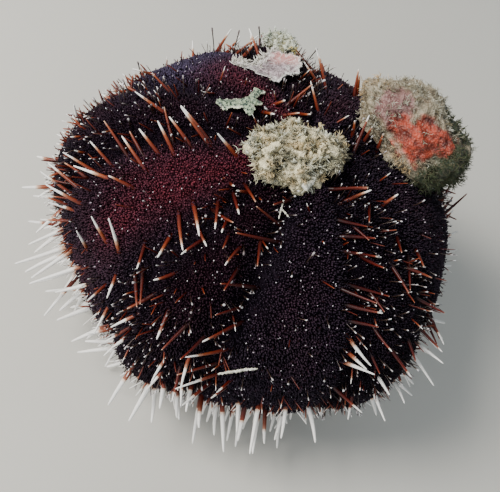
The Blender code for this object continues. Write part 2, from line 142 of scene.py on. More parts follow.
def bodyPlaces(points):  # azimuth, rise and height over the velvet
    points = np.asarray(points, float)
    azimuth = np.arctan2(points[:, 1], points[:, 0])
    up = points[:, 2] - level
    power, height = halfForm(up >= 0)
    out = np.hypot(points[:, 0], points[:, 1]) / (body["radius"] * (1 + swellAt(azimuth)))
    rise = np.arctan2((np.abs(up) / height) ** (power / 2), out ** (power / 2)) * np.sign(up)
    spot = bodyPoints(azimuth, rise)
    away = np.linalg.norm(points - middle, axis=1) - np.linalg.norm(spot - middle, axis=1)
    return azimuth, rise, away


def leaning(azimuth, rise, aside, rising):  # directions that lean from the body's normal
    normal, across, upward = bodyFrames(azimuth, rise)
    return unit(normal + across * aside[:, None] + upward * rising[:, None])


# the load that the animal carries: places as in the solids

loads = {  # azimuth, rise and heading in degrees, half sizes and lift in metres
    "rubble": {"at": (47, 62, -140), "half": (0.0197, 0.0118, 0.0116), "lift": 0.0052},
    "coral": {
        "at": (268, 86, 46), "half": (0.0152, 0.0096, 0.0054), "lift": 0.0006,
        "lobes": (  # direction in degrees, share of the reach, width; the first three are the solid's
            (35, -0.44, 36), (-142, 0.14, 34), (92, 0.06, 14),
            (172, 0.07, 18), (-150, 0.03, 10), (-16, 0.28, 15), (90, 0.14, 9), (124, 0.12, 8), (-92, -0.13, 20),
            (40, -0.18, 16), (-54, -0.22, 18), (-122, -0.08, 13),
        ),
    },
    "crust": {"at": (134.5, 60.5, -60), "half": (0.0110, 0.0068, 0.0025), "lift": 0.0010},
    "weed": {"at": (179.5, 71, 111), "half": (0.0076, 0.0060, 0.0024), "lift": 0.0004},
    "tuft": {"at": (124, 50, -64), "half": (0.0072, 0.0042, 0.0042), "lift": 0.0022},
}
for load in loads.values():
    azimuth, rise, heading = [math.radians(value) for value in load["at"]]
    normal, across, upward = bodyFrames(azimuth, rise)
    long = across * math.cos(heading) + upward * math.sin(heading)
    load["half"] = np.array(load["half"])
    load["axes"] = np.stack([long, np.cross(normal, long), normal])
    load["spot"] = bodyPoints(azimuth, rise)
    load["centre"] = load["spot"] + normal * load["lift"]


def loadPlaces(load, shares):
    return load["centre"] + np.asarray(shares, float) @ (load["axes"] * load["half"][:, None])


def loadShares(load, points):
    return (np.asarray(points, float) - load["centre"]) @ load["axes"].T / load["half"]


def lobeReach(load, shares):
    turns = np.arctan2(shares[:, 1], shares[:, 0])
    reach = np.ones(len(shares))
    for peak, share, width in load.get("lobes", ()):
        reach += share * hump(turns, peak, width)
    return reach[:, None]


def underLoads(points, margin, moreBelow=0.002):
    hidden = np.zeros(len(points), bool)
    for load in loads.values():
        shares = loadShares(load, points)
        shares[:, :2] /= lobeReach(load, shares)
        grown = load["half"] + margin + np.array([0, 0, moreBelow])
        hidden |= ((shares * load["half"] / grown) ** 2).sum(1) < 1.0
    return hidden


# meshes and attributes

def linked(name, data):
    made = bpy.data.objects.new(name, data)
    bpy.context.scene.collection.objects.link(made)
    return made


def newObject(name, points, faces, material=None):
    mesh = bpy.data.meshes.new(name)
    mesh.from_pydata([tuple(point) for point in points], [], [tuple(face) for face in faces])
    if material:
        mesh.materials.append(material)
    mesh.shade_smooth()
    return linked(name, mesh)


def ballObject(name, detail, material):
    ball = bmesh.new()
    bmesh.ops.create_icosphere(ball, subdivisions=detail, radius=1.0)
    mesh = bpy.data.meshes.new(name)
    ball.to_mesh(mesh)
    ball.free()
    mesh.materials.append(material)
    mesh.shade_smooth()
    return linked(name, mesh)


def joinObjects(parts, name):
    joined = bmesh.new()
    for part in parts:
        joined.from_mesh(part.data)
    mesh = bpy.data.meshes.new(name)
    joined.to_mesh(mesh)
    joined.free()
    for material in parts[0].data.materials:
        mesh.materials.append(material)
    for part in parts:
        bpy.data.objects.remove(part)
    mesh.shade_smooth()
    return linked(name, mesh)


def circle(sides):  # cosine and sine of each corner
    turns = [fullTurn * side / sides for side in range(sides)]
    return [(math.cos(turn), math.sin(turn)) for turn in turns]


def ringFaces(rings, sides, first=0, closed=True):  # quads between rings of points
    faces = []
    for low in range(first, first + (rings - 1) * sides, sides):
        for side in range(sides if closed else sides - 1):
            other = (side + 1) % sides
            faces.append((low + side, low + other, low + sides + other, low + sides + side))
    return faces


def tipFaces(first, sides):  # triangles from a ring to the point after it
    return [(first + side, first + (side + 1) % sides, first + sides) for side in range(sides)]


def cappedFaces(rings, sides):
    last = (rings - 1) * sides
    return [*ringFaces(rings, sides), tuple(range(sides))[::-1], tuple(range(last, last + sides))]


def meshRows(mesh, key="co"):
    values = np.empty(len(mesh.vertices) * 3, np.float32)
    mesh.vertices.foreach_get(key, values)
    return values.reshape(-1, 3).astype(float)


def setPoints(mesh, points):
    mesh.vertices.foreach_set("co", np.asarray(points, np.float32).ravel())
    mesh.update()


def storeValues(mesh, **fields):
    for name, values in fields.items():
        values = np.asarray(values, np.float32)
        isVector = values.ndim == 2
        field = mesh.attributes.new(name, "FLOAT_VECTOR" if isVector else "FLOAT", "POINT")
        field.data.foreach_set("vector" if isVector else "value", values.ravel())


def readValues(mesh, name, width=1):
    values = np.empty(len(mesh.vertices) * width, np.float32)
    mesh.attributes[name].data.foreach_get("vector" if width > 1 else "value", values)
    return values.reshape(-1, width) if width > 1 else values


def bakeSpots(points):  # polar unwrap of the body: apex in the middle, mouth at the rim
    away = np.asarray(points, float) - middle
    turn = np.arctan2(away[:, 1], away[:, 0])
    polar = np.arctan2(np.hypot(away[:, 0], away[:, 1]), away[:, 2]) / math.pi
    return np.stack([0.5 + 0.485 * polar * np.cos(turn), 0.5 + 0.485 * polar * np.sin(turn)], -1)


def finishPiece(made, slot, *nodes):
    made.data.transform(Matrix.Translation(axisShift))
    made.data.update()
    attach(made, "root")
    if nodes:
        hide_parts(*nodes)
    print(made.name, len(made.data.polygons), "faces")


def finishCoat(made, slot, patch=0.003):
    # in the bake's map each small thing is one patch at its root's place, its length across the patch
    mesh = made.data
    inPatch = np.stack([readValues(mesh, "along"), readValues(mesh, "around")], -1)
    spots = bakeSpots(readValues(mesh, "root", 3)) + (inPatch - 0.5) * patch
    corners = np.empty(len(mesh.loops), np.int32)
    mesh.loops.foreach_get("vertex_index", corners)
    mesh.uv_layers.new(name="OFBake").data.foreach_set("uv", spots.astype(np.float32)[corners].ravel())
    finishPiece(made, slot)


# node helpers, for shaders and Geometry Nodes

def feed(tree, value, socket):
    if isinstance(value, bpy.types.NodeSocket):
        tree.links.new(value, socket)
    elif value is not None:
        socket.default_value = (*value, 1) if socket.type == "RGBA" else value


def addNode(tree, kind, sockets=(), **settings):
    made = tree.nodes.new(kind)
    for key, value in settings.items():
        setattr(made, key, value)
    for key, value in dict(sockets).items():
        feed(tree, value, made.inputs[key])
    return made


def newTree(name, family, inputs, outputs):  # a socket is its name, its kind and, if any, its preset
    tree = bpy.data.node_groups.new(name, f"{family}NodeTree")
    for way, sockets in (("INPUT", inputs), ("OUTPUT", outputs)):
        for socket, kind, *preset in sockets:
            made = tree.interface.new_socket(socket, in_out=way, socket_type=f"NodeSocket{kind}")
            if preset:
                made.default_value = preset[0]
    return tree, addNode(tree, "NodeGroupInput").outputs, addNode(tree, "NodeGroupOutput").inputs


def mathNode(tree, operation, first, second=None, clamp=False):
    sockets = {0: first, 1: second}
    return addNode(tree, "ShaderNodeMath", sockets, operation=operation, use_clamp=clamp).outputs[0]


def times(tree, first, second):
    return mathNode(tree, "MULTIPLY", first, second)


def over(tree, value, limit):
    return mathNode(tree, "GREATER_THAN", value, limit)


def contrast(tree, value, gain, loss):  # harder steps between light and dark
    return mathNode(tree, "SUBTRACT", times(tree, value, gain), loss, clamp=True)


def strongest(tree, value, power, share):  # only the strongest spots of a mask
    return times(tree, mathNode(tree, "POWER", value, power), share)


def mixColour(tree, factor, first, second, blend="MIX"):
    sockets = {"Factor": factor, 6: first, 7: second}
    return addNode(tree, "ShaderNodeMix", sockets, data_type="RGBA", blend_type=blend).outputs[2]


def combined(tree, **axes):
    return addNode(tree, "ShaderNodeCombineXYZ", axes).outputs[0]


def rampNode(tree, stops, factor):
    made = addNode(tree, "ShaderNodeValToRGB", {"Fac": factor})
    ramp = made.color_ramp
    while len(ramp.elements) < len(stops):
        ramp.elements.new(0.5)
    for element, (place, colour) in zip(ramp.elements, stops):
        element.position = place
        element.color = (*colour, 1)
    return made.outputs["Color"]


def attributeValue(tree, name):
    return addNode(tree, "ShaderNodeAttribute", attribute_name=name).outputs["Fac"]


# grain: patches and specks of one size, for every crusted or fleshy surface
grainGroup, inward, outward = newTree(
    "grain", "Shader",
    [("Vector", "Vector"), ("Patch Scale", "Float", 300.0), ("Speck Scale", "Float", 1800.0)],
    [("Patches", "Float"), ("Specks", "Float"), ("Height", "Float")],
)
patches = addNode(
    grainGroup, "ShaderNodeTexNoise",
    {"Vector": inward["Vector"], "Scale": inward["Patch Scale"], "Detail": 6.0, "Roughness": 0.6},
).outputs["Fac"]
specks = addNode(
    grainGroup, "ShaderNodeTexVoronoi",
    {"Vector": inward["Vector"], "Scale": inward["Speck Scale"]}, feature="F1",
)
spread = addNode(grainGroup, "ShaderNodeMapRange", {"Value": patches, "From Min": 0.35, "From Max": 0.65})
dots = mathNode(grainGroup, "SUBTRACT", 1.0, specks.outputs["Distance"], clamp=True)
feed(grainGroup, spread.outputs[0], outward["Patches"])
feed(grainGroup, dots, outward["Specks"])
feed(grainGroup, mathNode(grainGroup, "ADD", patches, times(grainGroup, dots, 0.5)), outward["Height"])

# velvet tint: purple flesh that flushes crimson in the band centres, with a slight blue tint all over and a
# painted blue sheen towards the light side
tint = {
    "deep": (0.006, 0.0040, 0.0080),
    "purple": (0.044, 0.029, 0.044),
    "crimson": (0.205, 0.032, 0.046),
    # blue: the velvet's slight tint all over, and its painted sheen towards the light
    "blue": (0.094, 0.074, 0.140),
    "dark": (0.006, 0.003, 0.007),  # the narrow bands
}
tintGroup, inward, outward = newTree(
    "velvetTint", "Shader",
    [("Flush", "Float", 0.0), ("Bloom", "Float", 0.0), ("Shade", "Float", 0.0), ("Tone", "Float", 0.5)],
    [("Color", "Color")],
)
base = mixColour(tintGroup, inward["Tone"], tint["deep"], tint["purple"])
toneGain = mathNode(tintGroup, "ADD", 0.35, times(tintGroup, inward["Tone"], 0.75))
redness = times(tintGroup, inward["Flush"], toneGain)
flushed = mixColour(tintGroup, redness, base, tint["crimson"])
withBlueAndSheen = mixColour(tintGroup, inward["Bloom"], flushed, tint["blue"])
feed(tintGroup, mixColour(tintGroup, inward["Shade"], withBlueAndSheen, tint["dark"]), outward["Color"])


def velvetTint(tree, tone):
    sockets = {name: attributeValue(tree, name.lower()) for name in ("Flush", "Bloom", "Shade")}
    return addNode(tree, "ShaderNodeGroup", {**sockets, "Tone": tone}, node_tree=tintGroup).outputs["Color"]


def grainNode(tree, patchScale, speckScale, vector=None):
    if vector is None:
        vector = addNode(tree, "ShaderNodeTexCoord").outputs["Object"]
    sockets = {"Vector": vector, "Patch Scale": patchScale, "Speck Scale": speckScale}
    return addNode(tree, "ShaderNodeGroup", sockets, node_tree=grainGroup).outputs


# materials

def newMaterial(name):
    made = bpy.data.materials.new(name)
    made.use_nodes = True
    return made, made.node_tree


def finishMaterial(made, colour, roughness, bump=(), **others):
    # bump: height, strength and depth in metres; others: more of the shader's own sockets
    tree, shader = made.node_tree, made.node_tree.nodes["Principled BSDF"].inputs
    if bump:
        sockets = dict(zip(("Height", "Strength", "Distance"), bump))
        feed(tree, addNode(tree, "ShaderNodeBump", sockets).outputs["Normal"], shader["Normal"])
    for key, value in {"Base Color": colour, "Roughness": roughness, **others}.items():
        feed(tree, value, shader[key.replace("_", " ")])
    return made


def velvetMaterial():
    made, tree = newMaterial("velvetHeads")
    along, tone = attributeValue(tree, "along"), attributeValue(tree, "tone")
    # painted shade: the velvet darkens steeply down its stalks, between the packed heads
    height = mathNode(tree, "POWER", along, 3.0)
    lit = mixColour(tree, height, (0.004, 0.002, 0.004), velvetTint(tree, tone))
    fleck = times(tree, over(tree, along, 0.9), over(tree, tone, 0.985))  # painted glints: a few heads get pale tips that stand in for specular highlights
    return finishMaterial(made, mixColour(tree, fleck, lit, (0.62, 0.58, 0.60)), 0.5, Specular_IOR_Level=0.09)


def stalkMaterial():
    made, tree = newMaterial("tallPincers")
    isPale = over(tree, attributeValue(tree, "tone"), 0.75)
    head = mixColour(tree, isPale, (0.016, 0.006, 0.008), (0.40, 0.34, 0.38))
    isHead = over(tree, attributeValue(tree, "along"), 0.80)
    colour = mixColour(tree, isHead, (0.005, 0.002, 0.003), head)
    return finishMaterial(made, colour, 0.9, Specular_IOR_Level=0.02)


def skinMaterial():
    made, tree = newMaterial("skin")
    grain = grainNode(tree, 260.0, 1500.0)
    dark = mixColour(tree, 0.62, velvetTint(tree, grain["Patches"]), (0.004, 0.002, 0.004))
    return finishMaterial(made, dark, 0.9, (grain["Height"], 0.5, 0.0004), Specular_IOR_Level=0.03)


def spineMaterial():
    made, tree = newMaterial("spines")
    along, pale, tone = [attributeValue(tree, name) for name in ("along", "pale", "tone")]
    place = mathNode(tree, "ADD", along, times(tree, pale, spines["paleGain"]))
    colour = rampNode(tree, spines["colours"], place)
    # painted shade: the red part darkens by the tone, which on the dome's rows is highest on the side away from
    # the light
    isRed = mathNode(tree, "LESS_THAN", place, 0.80)
    shadedByTone = mixColour(tree, times(tree, tone, isRed), colour, (0.34, 0.10, 0.07), "MULTIPLY")
    # the streaks run along the spine, and each spine has its own
    around = times(tree, attributeValue(tree, "around"), 3.0)
    vector = combined(tree, X=times(tree, along, 9.0), Y=around, Z=times(tree, tone, 50.0))
    grain = grainNode(tree, 1.0, 4.0, vector)
    streak = times(tree, grain["Patches"], mathNode(tree, "ADD", 0.06, times(tree, isRed, 0.30)))
    streaked = mixColour(tree, streak, shadedByTone, (0.60, 0.42, 0.36), "MULTIPLY")
    return finishMaterial(made, streaked, 0.42, (grain["Height"], 0.06, 0.0001), Specular_IOR_Level=0.35)


def footMaterial():
    made, tree = newMaterial("tubeFeet")
    colour = rampNode(tree, feet["colours"], attributeValue(tree, "along"))
    dimness = mathNode(tree, "POWER", attributeValue(tree, "tone"), 0.7)
    return finishMaterial(
        made, mixColour(tree, dimness, colour, (0.16, 0.13, 0.13), "MULTIPLY"), 0.30,
        Subsurface_Weight=0.08, Subsurface_Radius=(0.002, 0.001, 0.001),
    )


def crustedMaterial(name, low, high, speckled, roughness, patchScale, speckScale, depth):
    made, tree = newMaterial(name)
    grain = grainNode(tree, patchScale, speckScale)
    colour = mixColour(tree, grain["Patches"], low, high)
    spotted = mixColour(tree, strongest(tree, grain["Specks"], 3.0, 0.6), colour, speckled)
    return finishMaterial(made, spotted, roughness, (grain["Height"], 0.8, depth))


def foldedMaterial(name, deep, high, speckled, patchScale):
    # ragged growth: dark in its folds as painted shade, pale on the ridges
    made, tree = newMaterial(name)
    grain = grainNode(tree, patchScale, patchScale * 3)
    fold = mathNode(tree, "ADD", attributeValue(tree, "fold"), times(tree, grain["Patches"], 0.35))
    colour = mixColour(tree, contrast(tree, fold, 1.8, 0.95), deep, high)
    spotted = mixColour(tree, strongest(tree, grain["Specks"], 4.0, 0.5), colour, speckled)
    return finishMaterial(made, spotted, 0.8, (grain["Height"], 0.9, 0.0008))


def turfMaterial(name, low, high, shade, root, warm=(0.6, 0.45, 0.2)):
    # fine growth: dark at the root as painted shade down among the threads, paler at the ends, one tone for
    # each tuft, shifted by the part's own masks
    made, tree = newMaterial(name)
    colour = mixColour(tree, attributeValue(tree, "tone"), low, high)
    colour = mixColour(tree, attributeValue(tree, "warm"), colour, warm)
    shaded = mixColour(tree, attributeValue(tree, "shade"), colour, shade)
    rootward = mathNode(tree, "POWER", attributeValue(tree, "along"), 0.7)
    return finishMaterial(made, mixColour(tree, rootward, root, shaded), 0.7)


# geometry node trees

def keepValue(tree, geometry, name, kind, value):
    sockets = {"Geometry": geometry, "Name": name, "Value": value}
    made = addNode(tree, "GeometryNodeStoreNamedAttribute", sockets, data_type=kind, domain="POINT")
    return made.outputs["Geometry"]


def namedValue(tree, name, kind="FLOAT_VECTOR"):
    made = addNode(tree, "GeometryNodeInputNamedAttribute", {"Name": name}, data_type=kind)
    return made.outputs["Attribute"]


def randomValue(tree, kind, low, high, seed):
    first = 0 if kind == "FLOAT_VECTOR" else 2
    sockets = {first: low, first + 1: high, "Seed": seed}
    return addNode(tree, "FunctionNodeRandomValue", sockets, data_type=kind).outputs[first // 2]


def rotated(tree, rotation, turn):
    sockets = {0: rotation, 1: turn}
    return addNode(tree, "FunctionNodeRotateRotation", sockets, rotation_space="LOCAL").outputs[0]


def pieceTree(name, inputs):
    # every tree sets the pieces of a collection on points, and gives them one material
    inputs = [("Geometry", "Geometry"), ("Pieces", "Collection"), ("Material", "Material"), *inputs]
    return newTree(name, "Geometry", inputs, [("Geometry", "Geometry")])


def setPieces(tree, inward, outward, points, rotation, scale):
    pieces = addNode(
        tree, "GeometryNodeCollectionInfo",
        {"Collection": inward["Pieces"], "Separate Children": True, "Reset Children": True},
    ).outputs["Instances"]
    placed = addNode(
        tree, "GeometryNodeInstanceOnPoints",
        {"Points": points, "Instance": pieces, "Pick Instance": True, "Rotation": rotation, "Scale": scale},
    ).outputs["Instances"]
    realized = addNode(tree, "GeometryNodeRealizeInstances", {"Geometry": placed}).outputs["Geometry"]
    painted = addNode(tree, "GeometryNodeSetMaterial", {"Geometry": realized, "Material": inward["Material"]})
    feed(tree, painted.outputs["Geometry"], outward["Geometry"])


# scatterTree covers a surface with small pieces that stand along its normals
scatterTree, inward, outward = pieceTree(
    "scatter",
    [
        ("Spacing", "Float", 0.0007), ("Density", "Float", 3e6), ("Lean", "Float", 0.2),
        ("Smallest", "Float", 0.8), ("Largest", "Float", 1.2), ("Seed", "Int", 1),
    ],
)
spots = addNode(
    scatterTree, "GeometryNodeDistributePointsOnFaces",
    {
        "Mesh": inward["Geometry"], "Distance Min": inward["Spacing"], "Density Max": inward["Density"],
        "Density Factor": namedValue(scatterTree, "cover", "FLOAT"), "Seed": inward["Seed"],
    },
    distribute_method="POISSON",
).outputs
spotAt = addNode(scatterTree, "GeometryNodeInputPosition").outputs[0]
rooted = keepValue(scatterTree, spots["Points"], "root", "FLOAT_VECTOR", spotAt)
tones = randomValue(scatterTree, "FLOAT", 0.0, 1.0, inward["Seed"])
toned = keepValue(scatterTree, rooted, "tone", "FLOAT", tones)
leanBack = times(scatterTree, inward["Lean"], -1.0)
leanFrom = combined(scatterTree, X=leanBack, Y=leanBack)
leanTo = combined(scatterTree, X=inward["Lean"], Y=inward["Lean"], Z=6.283)
turned = rotated(scatterTree, spots["Rotation"], randomValue(scatterTree, "FLOAT_VECTOR", leanFrom, leanTo, 5))
sizes = randomValue(scatterTree, "FLOAT", inward["Smallest"], inward["Largest"], 9)
grown = times(scatterTree, sizes, namedValue(scatterTree, "growth", "FLOAT"))
setPieces(scatterTree, inward, outward, toned, turned, grown)

# plantTree sets pieces on given points, each along its own heading and at its own size
plantTree, inward, outward = pieceTree("plant", [])
aim = addNode(
    plantTree, "FunctionNodeAlignRotationToVector", {"Vector": namedValue(plantTree, "heading")}, axis="Z"
).outputs[0]
spun = rotated(plantTree, aim, namedValue(plantTree, "spin"))
setPieces(plantTree, inward, outward, inward["Geometry"], spun, namedValue(plantTree, "size"))


def runTree(made, tree, **values):
    grow = made.modifiers.new("grow", "NODES")
    grow.node_group = tree
    names = {item.name: item.identifier for item in tree.interface.items_tree if item.in_out == "INPUT"}
    for key, value in values.items():
        grow[names[key]] = value
    graph = bpy.context.evaluated_depsgraph_get()
    grown = made.evaluated_get(graph)
    mesh = bpy.data.meshes.new_from_object(grown, preserve_all_data_layers=True, depsgraph=graph)
    made.modifiers.remove(grow)
    old = made.data
    made.data = mesh
    bpy.data.meshes.remove(old)
    mesh.name = made.name
    mesh.shade_smooth()


def templateRod(name, sides, rings, bend=0.0):
    # rings: height and radius, up to a closed tip; each point knows its place along and around
    points, along, around = [], [], []
    top = rings[-1][0]
    for height, radius in rings:
        sway = bend * (height / top) ** 2
        corners = circle(sides if radius else 1)
        points += [(radius * x + sway, radius * y, height) for x, y in corners]
        along += [height / top] * len(corners)
        around += [side / sides for side in range(len(corners))]
    lastRing = (len(rings) - 2) * sides
    made = newObject(name, points, ringFaces(len(rings) - 1, sides) + tipFaces(lastRing, sides))
    storeValues(made.data, along=along, around=around)
    return made


def templateSet(name, parts):
    group = bpy.data.collections.new(name)
    for part in parts:
        group.objects.link(part)
        bpy.context.scene.collection.objects.unlink(part)
    return group


def bentSet(name, form, sides, rings, bends):
    parts = [templateRod(f"{form}{index}", sides, rings, bend) for index, bend in enumerate(bends)]
    return templateSet(name, parts)


def plantPieces(name, templates, material, rows):
    # rows: foot, heading, width and length of each small thing, and other named values
    made = newObject(name, rows["foot"], [])
    count = len(rows["foot"])
    spin = dice.uniform(0, fullTurn, count)[:, None] * np.array([0, 0, 1])
    values = {"tone": dice.uniform(0, 1, count), "pale": np.zeros(count), **rows, "spin": spin}
    values["root"] = values.pop("foot")
    width, length = values.pop("width"), values.pop("length")
    storeValues(made.data, size=np.stack([width, width, length], -1), **values)
    runTree(made, plantTree, Pieces=templates, Material=material)
    finishCoat(made, "velvet")


# camera and light: the camera first

camera = {
    "elevation": 54.6,  # degrees above the horizon
    "roll": 33.4,  # the animal's up leans to the right in the picture
    "distance": 0.252,
    "lens": 57.67,
    "picture": (500, 492),
    "bodyAt": (251.7, 230.6),  # where the body's middle falls in the picture
}


def makeCamera():
    tilt, roll = math.radians(camera["elevation"]), math.radians(camera["roll"])
    back = Vector((0, -math.cos(tilt), math.sin(tilt)))
    right, up = Vector((1, 0, 0)), Vector((0, math.sin(tilt), math.cos(tilt)))
    across = right * math.cos(roll) + up * math.sin(roll)
    upward = up * math.cos(roll) - right * math.sin(roll)
    place = Vector((0, 0, level)) + axisShift + back * camera["distance"]
    (width, height), (x, y) = camera["picture"], camera["bodyAt"]
    data = bpy.data.cameras.new("camera")
    data.lens = camera["lens"]
    data.sensor_width = 36
    data.clip_start = 0.01
    data.shift_x = (width / 2 - x) / width
    data.shift_y = (y - height / 2) / width
    made = linked("camera", data)
    made.matrix_world = Matrix.Translation(place) @ Matrix((across, upward, back)).transposed().to_4x4()
    bpy.context.scene.camera = made


studio = {
    "lamps": (  # name, direction, power, size and colour
        ("key", (-0.62, -0.32, 0.72), 7.2, 0.28, (1.0, 0.98, 0.94)),
        ("fill", (-0.05, -0.90, 0.36), 2.4, 0.8, (0.88, 0.94, 1.0)),
        ("back", (0.15, 0.95, 0.50), 0.8, 0.6, (0.86, 0.94, 1.0)),
    ),
    "lampDistance": 0.7,
    "sky": (0.82, 0.92, 1.0),
    "skyPower": 0.31,
    "floor": (0.66, 0.635, 0.575),
    "floorPatches": (0.58, 0.55, 0.49),
    "floorReach": 3.0,
}


def makeStudio():
    for name, direction, power, size, colour in studio["lamps"]:
        data = bpy.data.lights.new(name, "AREA")
        data.energy, data.size, data.color = power, size, colour
        away = Vector(direction).normalized()
        made = linked(name, data)
        made.location = Vector((0, 0, level)) + away * studio["lampDistance"]
        made.rotation_euler = away.to_track_quat("Z", "Y").to_euler()
    world = bpy.data.worlds.new("sky")
    bpy.context.scene.world = world
    world.use_nodes = True
    background = world.node_tree.nodes["Background"].inputs
    background["Color"].default_value = (*studio["sky"], 1)
    background["Strength"].default_value = studio["skyPower"]
    made, tree = newMaterial("floor")
    share = times(tree, grainNode(tree, 9.0, 400.0)["Patches"], 0.12)
    finishMaterial(made, mixColour(tree, share, studio["floor"], studio["floorPatches"]), 0.9)
    reach = studio["floorReach"]
    corners = [(-reach, -reach, 0), (reach, -reach, 0), (reach, reach, 0), (-reach, reach, 0)]
    newObject("floor", corners, [(0, 1, 2, 3)], made)


makeCamera()
makeStudio()
print("camera and studio ready")


# the skin under the velvet

skin = {
    "coatDepth": 0.0017,  # velvet surface down to the skin
    "columns": 260,
    "rows": 120,
    "flush": (  # band's middle, strength and width in degrees, lowest rise
        (14, 0.06, 13, 0), (86, 0.20, 13, 0), (158, 0.85, 13, 42), (230, 1.0, 13, 0), (302, 0.10, 13, 0),
        (50, 0.06, 9, 0), (122, 0.30, 9, 0), (194, 0.35, 9, 0), (266, 0.40, 9, 0), (338, 0.04, 9, 0),
    ),
    "sheenAt": (163, 37),  # azimuth and rise in degrees of the painted blue sheen, where the velvet is bluest
    "sheenReach": (26, 15),
    "sheenStrength": 0.80,
    "clouds": (70, 260),  # grain of the patches and of the flecks in the tint
    "narrowShade": 0.62,  # how much darker the narrow bands are
}


def storeTints(mesh, points):
    azimuth, rise = bodyPlaces(points)[:2]
    degrees = np.degrees(rise)
    flush = np.zeros(len(points))
    for centre, strength, width, lowest in skin["flush"]:
        rising = np.clip((degrees - lowest) / 12 + 0.2, 0, 1) if lowest else 1.0
        flush = np.maximum(flush, strength * rising * hump(azimuth, centre, width))
    flush *= np.clip((degrees - 2) / 26, 0.25, 1)
    # painted highlight: a blue sheen where the light falls on the velvet, over a slight blue tint everywhere
    (turn, height), (aside, above) = skin["sheenAt"], skin["sheenReach"]
    bloom = skin["sheenStrength"] * hump(azimuth, turn, aside) * np.exp(-(((degrees - height) / above) ** 2))
    cloud, fleck = [noiseAt(points, grain) for grain in skin["clouds"]]
    shade = skin["narrowShade"] * ease(fromCorner(azimuth), math.radians(20), -math.radians(5))
    storeValues(
        mesh,
        flush=np.clip(flush * (0.85 + 0.9 * cloud) + 0.10 * fleck, 0, 1),
        bloom=np.clip(bloom * (0.9 + 0.8 * cloud) + 0.12 * fleck + 0.06, 0, 1),
        shade=np.clip(shade * (1 + 0.5 * cloud), 0, 1),
    )


def skinGrid(azimuths, rises, closed):
    grid = bodyPoints(azimuths[None, :], np.radians(rises)[:, None], -skin["coatDepth"])
    return grid.reshape(-1, 3), ringFaces(*grid.shape[:2], closed=closed)


def makeSkin():
    columns = skin["columns"]
    azimuths = np.linspace(0, fullTurn, columns, endpoint=False)
    points, faces = skinGrid(azimuths, np.linspace(-89.0, 89.5, skin["rows"]), True)
    low = len(points)
    points = np.vstack([points, [[0, 0, points[0, 2]], [0, 0, points[-1, 2]]]])  # the two poles
    for column in range(columns):
        other = (column + 1) % columns
        faces.append((other, column, low))
        faces.append((low - columns + column, low - columns + other, low + 1))
    made = newObject("skin", points, faces, skinMaterial())
    storeTints(made.data, points)
    return made


skinObject = makeSkin()
print("skin ready")


# velvet: small pincers on stalks, packed side by side

velvet = {
    "height": 0.00170,
    "headRadius": 0.00023,
    "forms": ((1.0, 1.0), (1.14, 0.90), (0.86, 1.08)),  # shares of the radius and height
    "lean": 0.15,
    "sizes": (0.80, 1.18),
    "zones": (  # name, lowest and highest rise, rows of the grid under them, spacing
        ("Dome", -16, 86, 70, 0.00043),
        ("Low", -78, -16, 36, 0.00078),
    ),
    "tallHeight": 0.0029,
    "tallHead": 0.00020,
    "tallBends": (0.0, 0.0005, -0.0009),
    "tallLean": 0.45,
    "tallSizes": (0.75, 1.15),
    "tallSpacing": 0.0027,
    "crowding": 2.2,  # places tried for each that fits
    "underLoads": -0.0012,  # the coat goes this far under the loads' edges
    "seamThinning": 0.40,  # share of the heads that is missing where two bands meet
    "seamShrinking": 0.25,
    "draft": 2.2,
}


def velvetTemplates():
    parts = []
    for index, (fat, tall) in enumerate(velvet["forms"]):
        radius, height = velvet["headRadius"] * fat, velvet["height"] * tall
        rings = [(0.0, radius * 0.45), (height * 0.86, radius), (height, 0.0)]
        parts.append(templateRod(f"pincer{index}", 5, rings))
    return templateSet("pincers", parts)


def growCoat(name, azimuths, rises, templates, material, spacing, sizes, **values):
    points, faces = skinGrid(azimuths, rises, False)
    made = newObject(name, points, faces)
    azimuth = bodyPlaces(points)[0]
    cover = 1 - velvet["seamThinning"] * stripShare(azimuth, 0.7)
    cover[underLoads(points, velvet["underLoads"])] = 0
    storeTints(made.data, points)
    storeValues(made.data, cover=cover, growth=1 - velvet["seamShrinking"] * stripShare(azimuth, 0.8))
    apart = spacing * 1.0
    runTree(
        made, scatterTree, Pieces=templates, Material=material, Spacing=apart,
        Density=velvet["crowding"] / apart**2, Smallest=sizes[0], Largest=sizes[1], **values,
    )
    finishCoat(made, "velvet")


def makeVelvet():
    templates, material = velvetTemplates(), velvetMaterial()
    for sector in range(5):
        start = body["firstCorner"] + fifth * sector + body["narrowHalf"]
        azimuths = np.linspace(start, start + fifth, 58)
        for zone, low, high, rows, spacing in velvet["zones"]:
            growCoat(
                f"velvet{zone}{sector + 1}", azimuths, np.linspace(low, high, rows), templates, material,
                spacing, velvet["sizes"], Lean=velvet["lean"], Seed=31 + sector,
            )
    radius, height = velvet["tallHead"], velvet["tallHeight"]
    rings = [(0.0, radius * 0.5), (height * 0.72, radius * 0.42), (height * 0.86, radius), (height, 0.0)]
    growCoat(
        "tallPincers", np.linspace(0, fullTurn, 200), np.linspace(-60, 86, 90),
        bentSet("tallPincers", "tallPincer", 5, rings, velvet["tallBends"]), stalkMaterial(),
        velvet["tallSpacing"], velvet["tallSizes"], Lean=velvet["tallLean"], Seed=50,
    )


makeVelvet()
print("velvet ready")


# spines: the solids' rows, each spine tapered and blunt, with finer ones between them

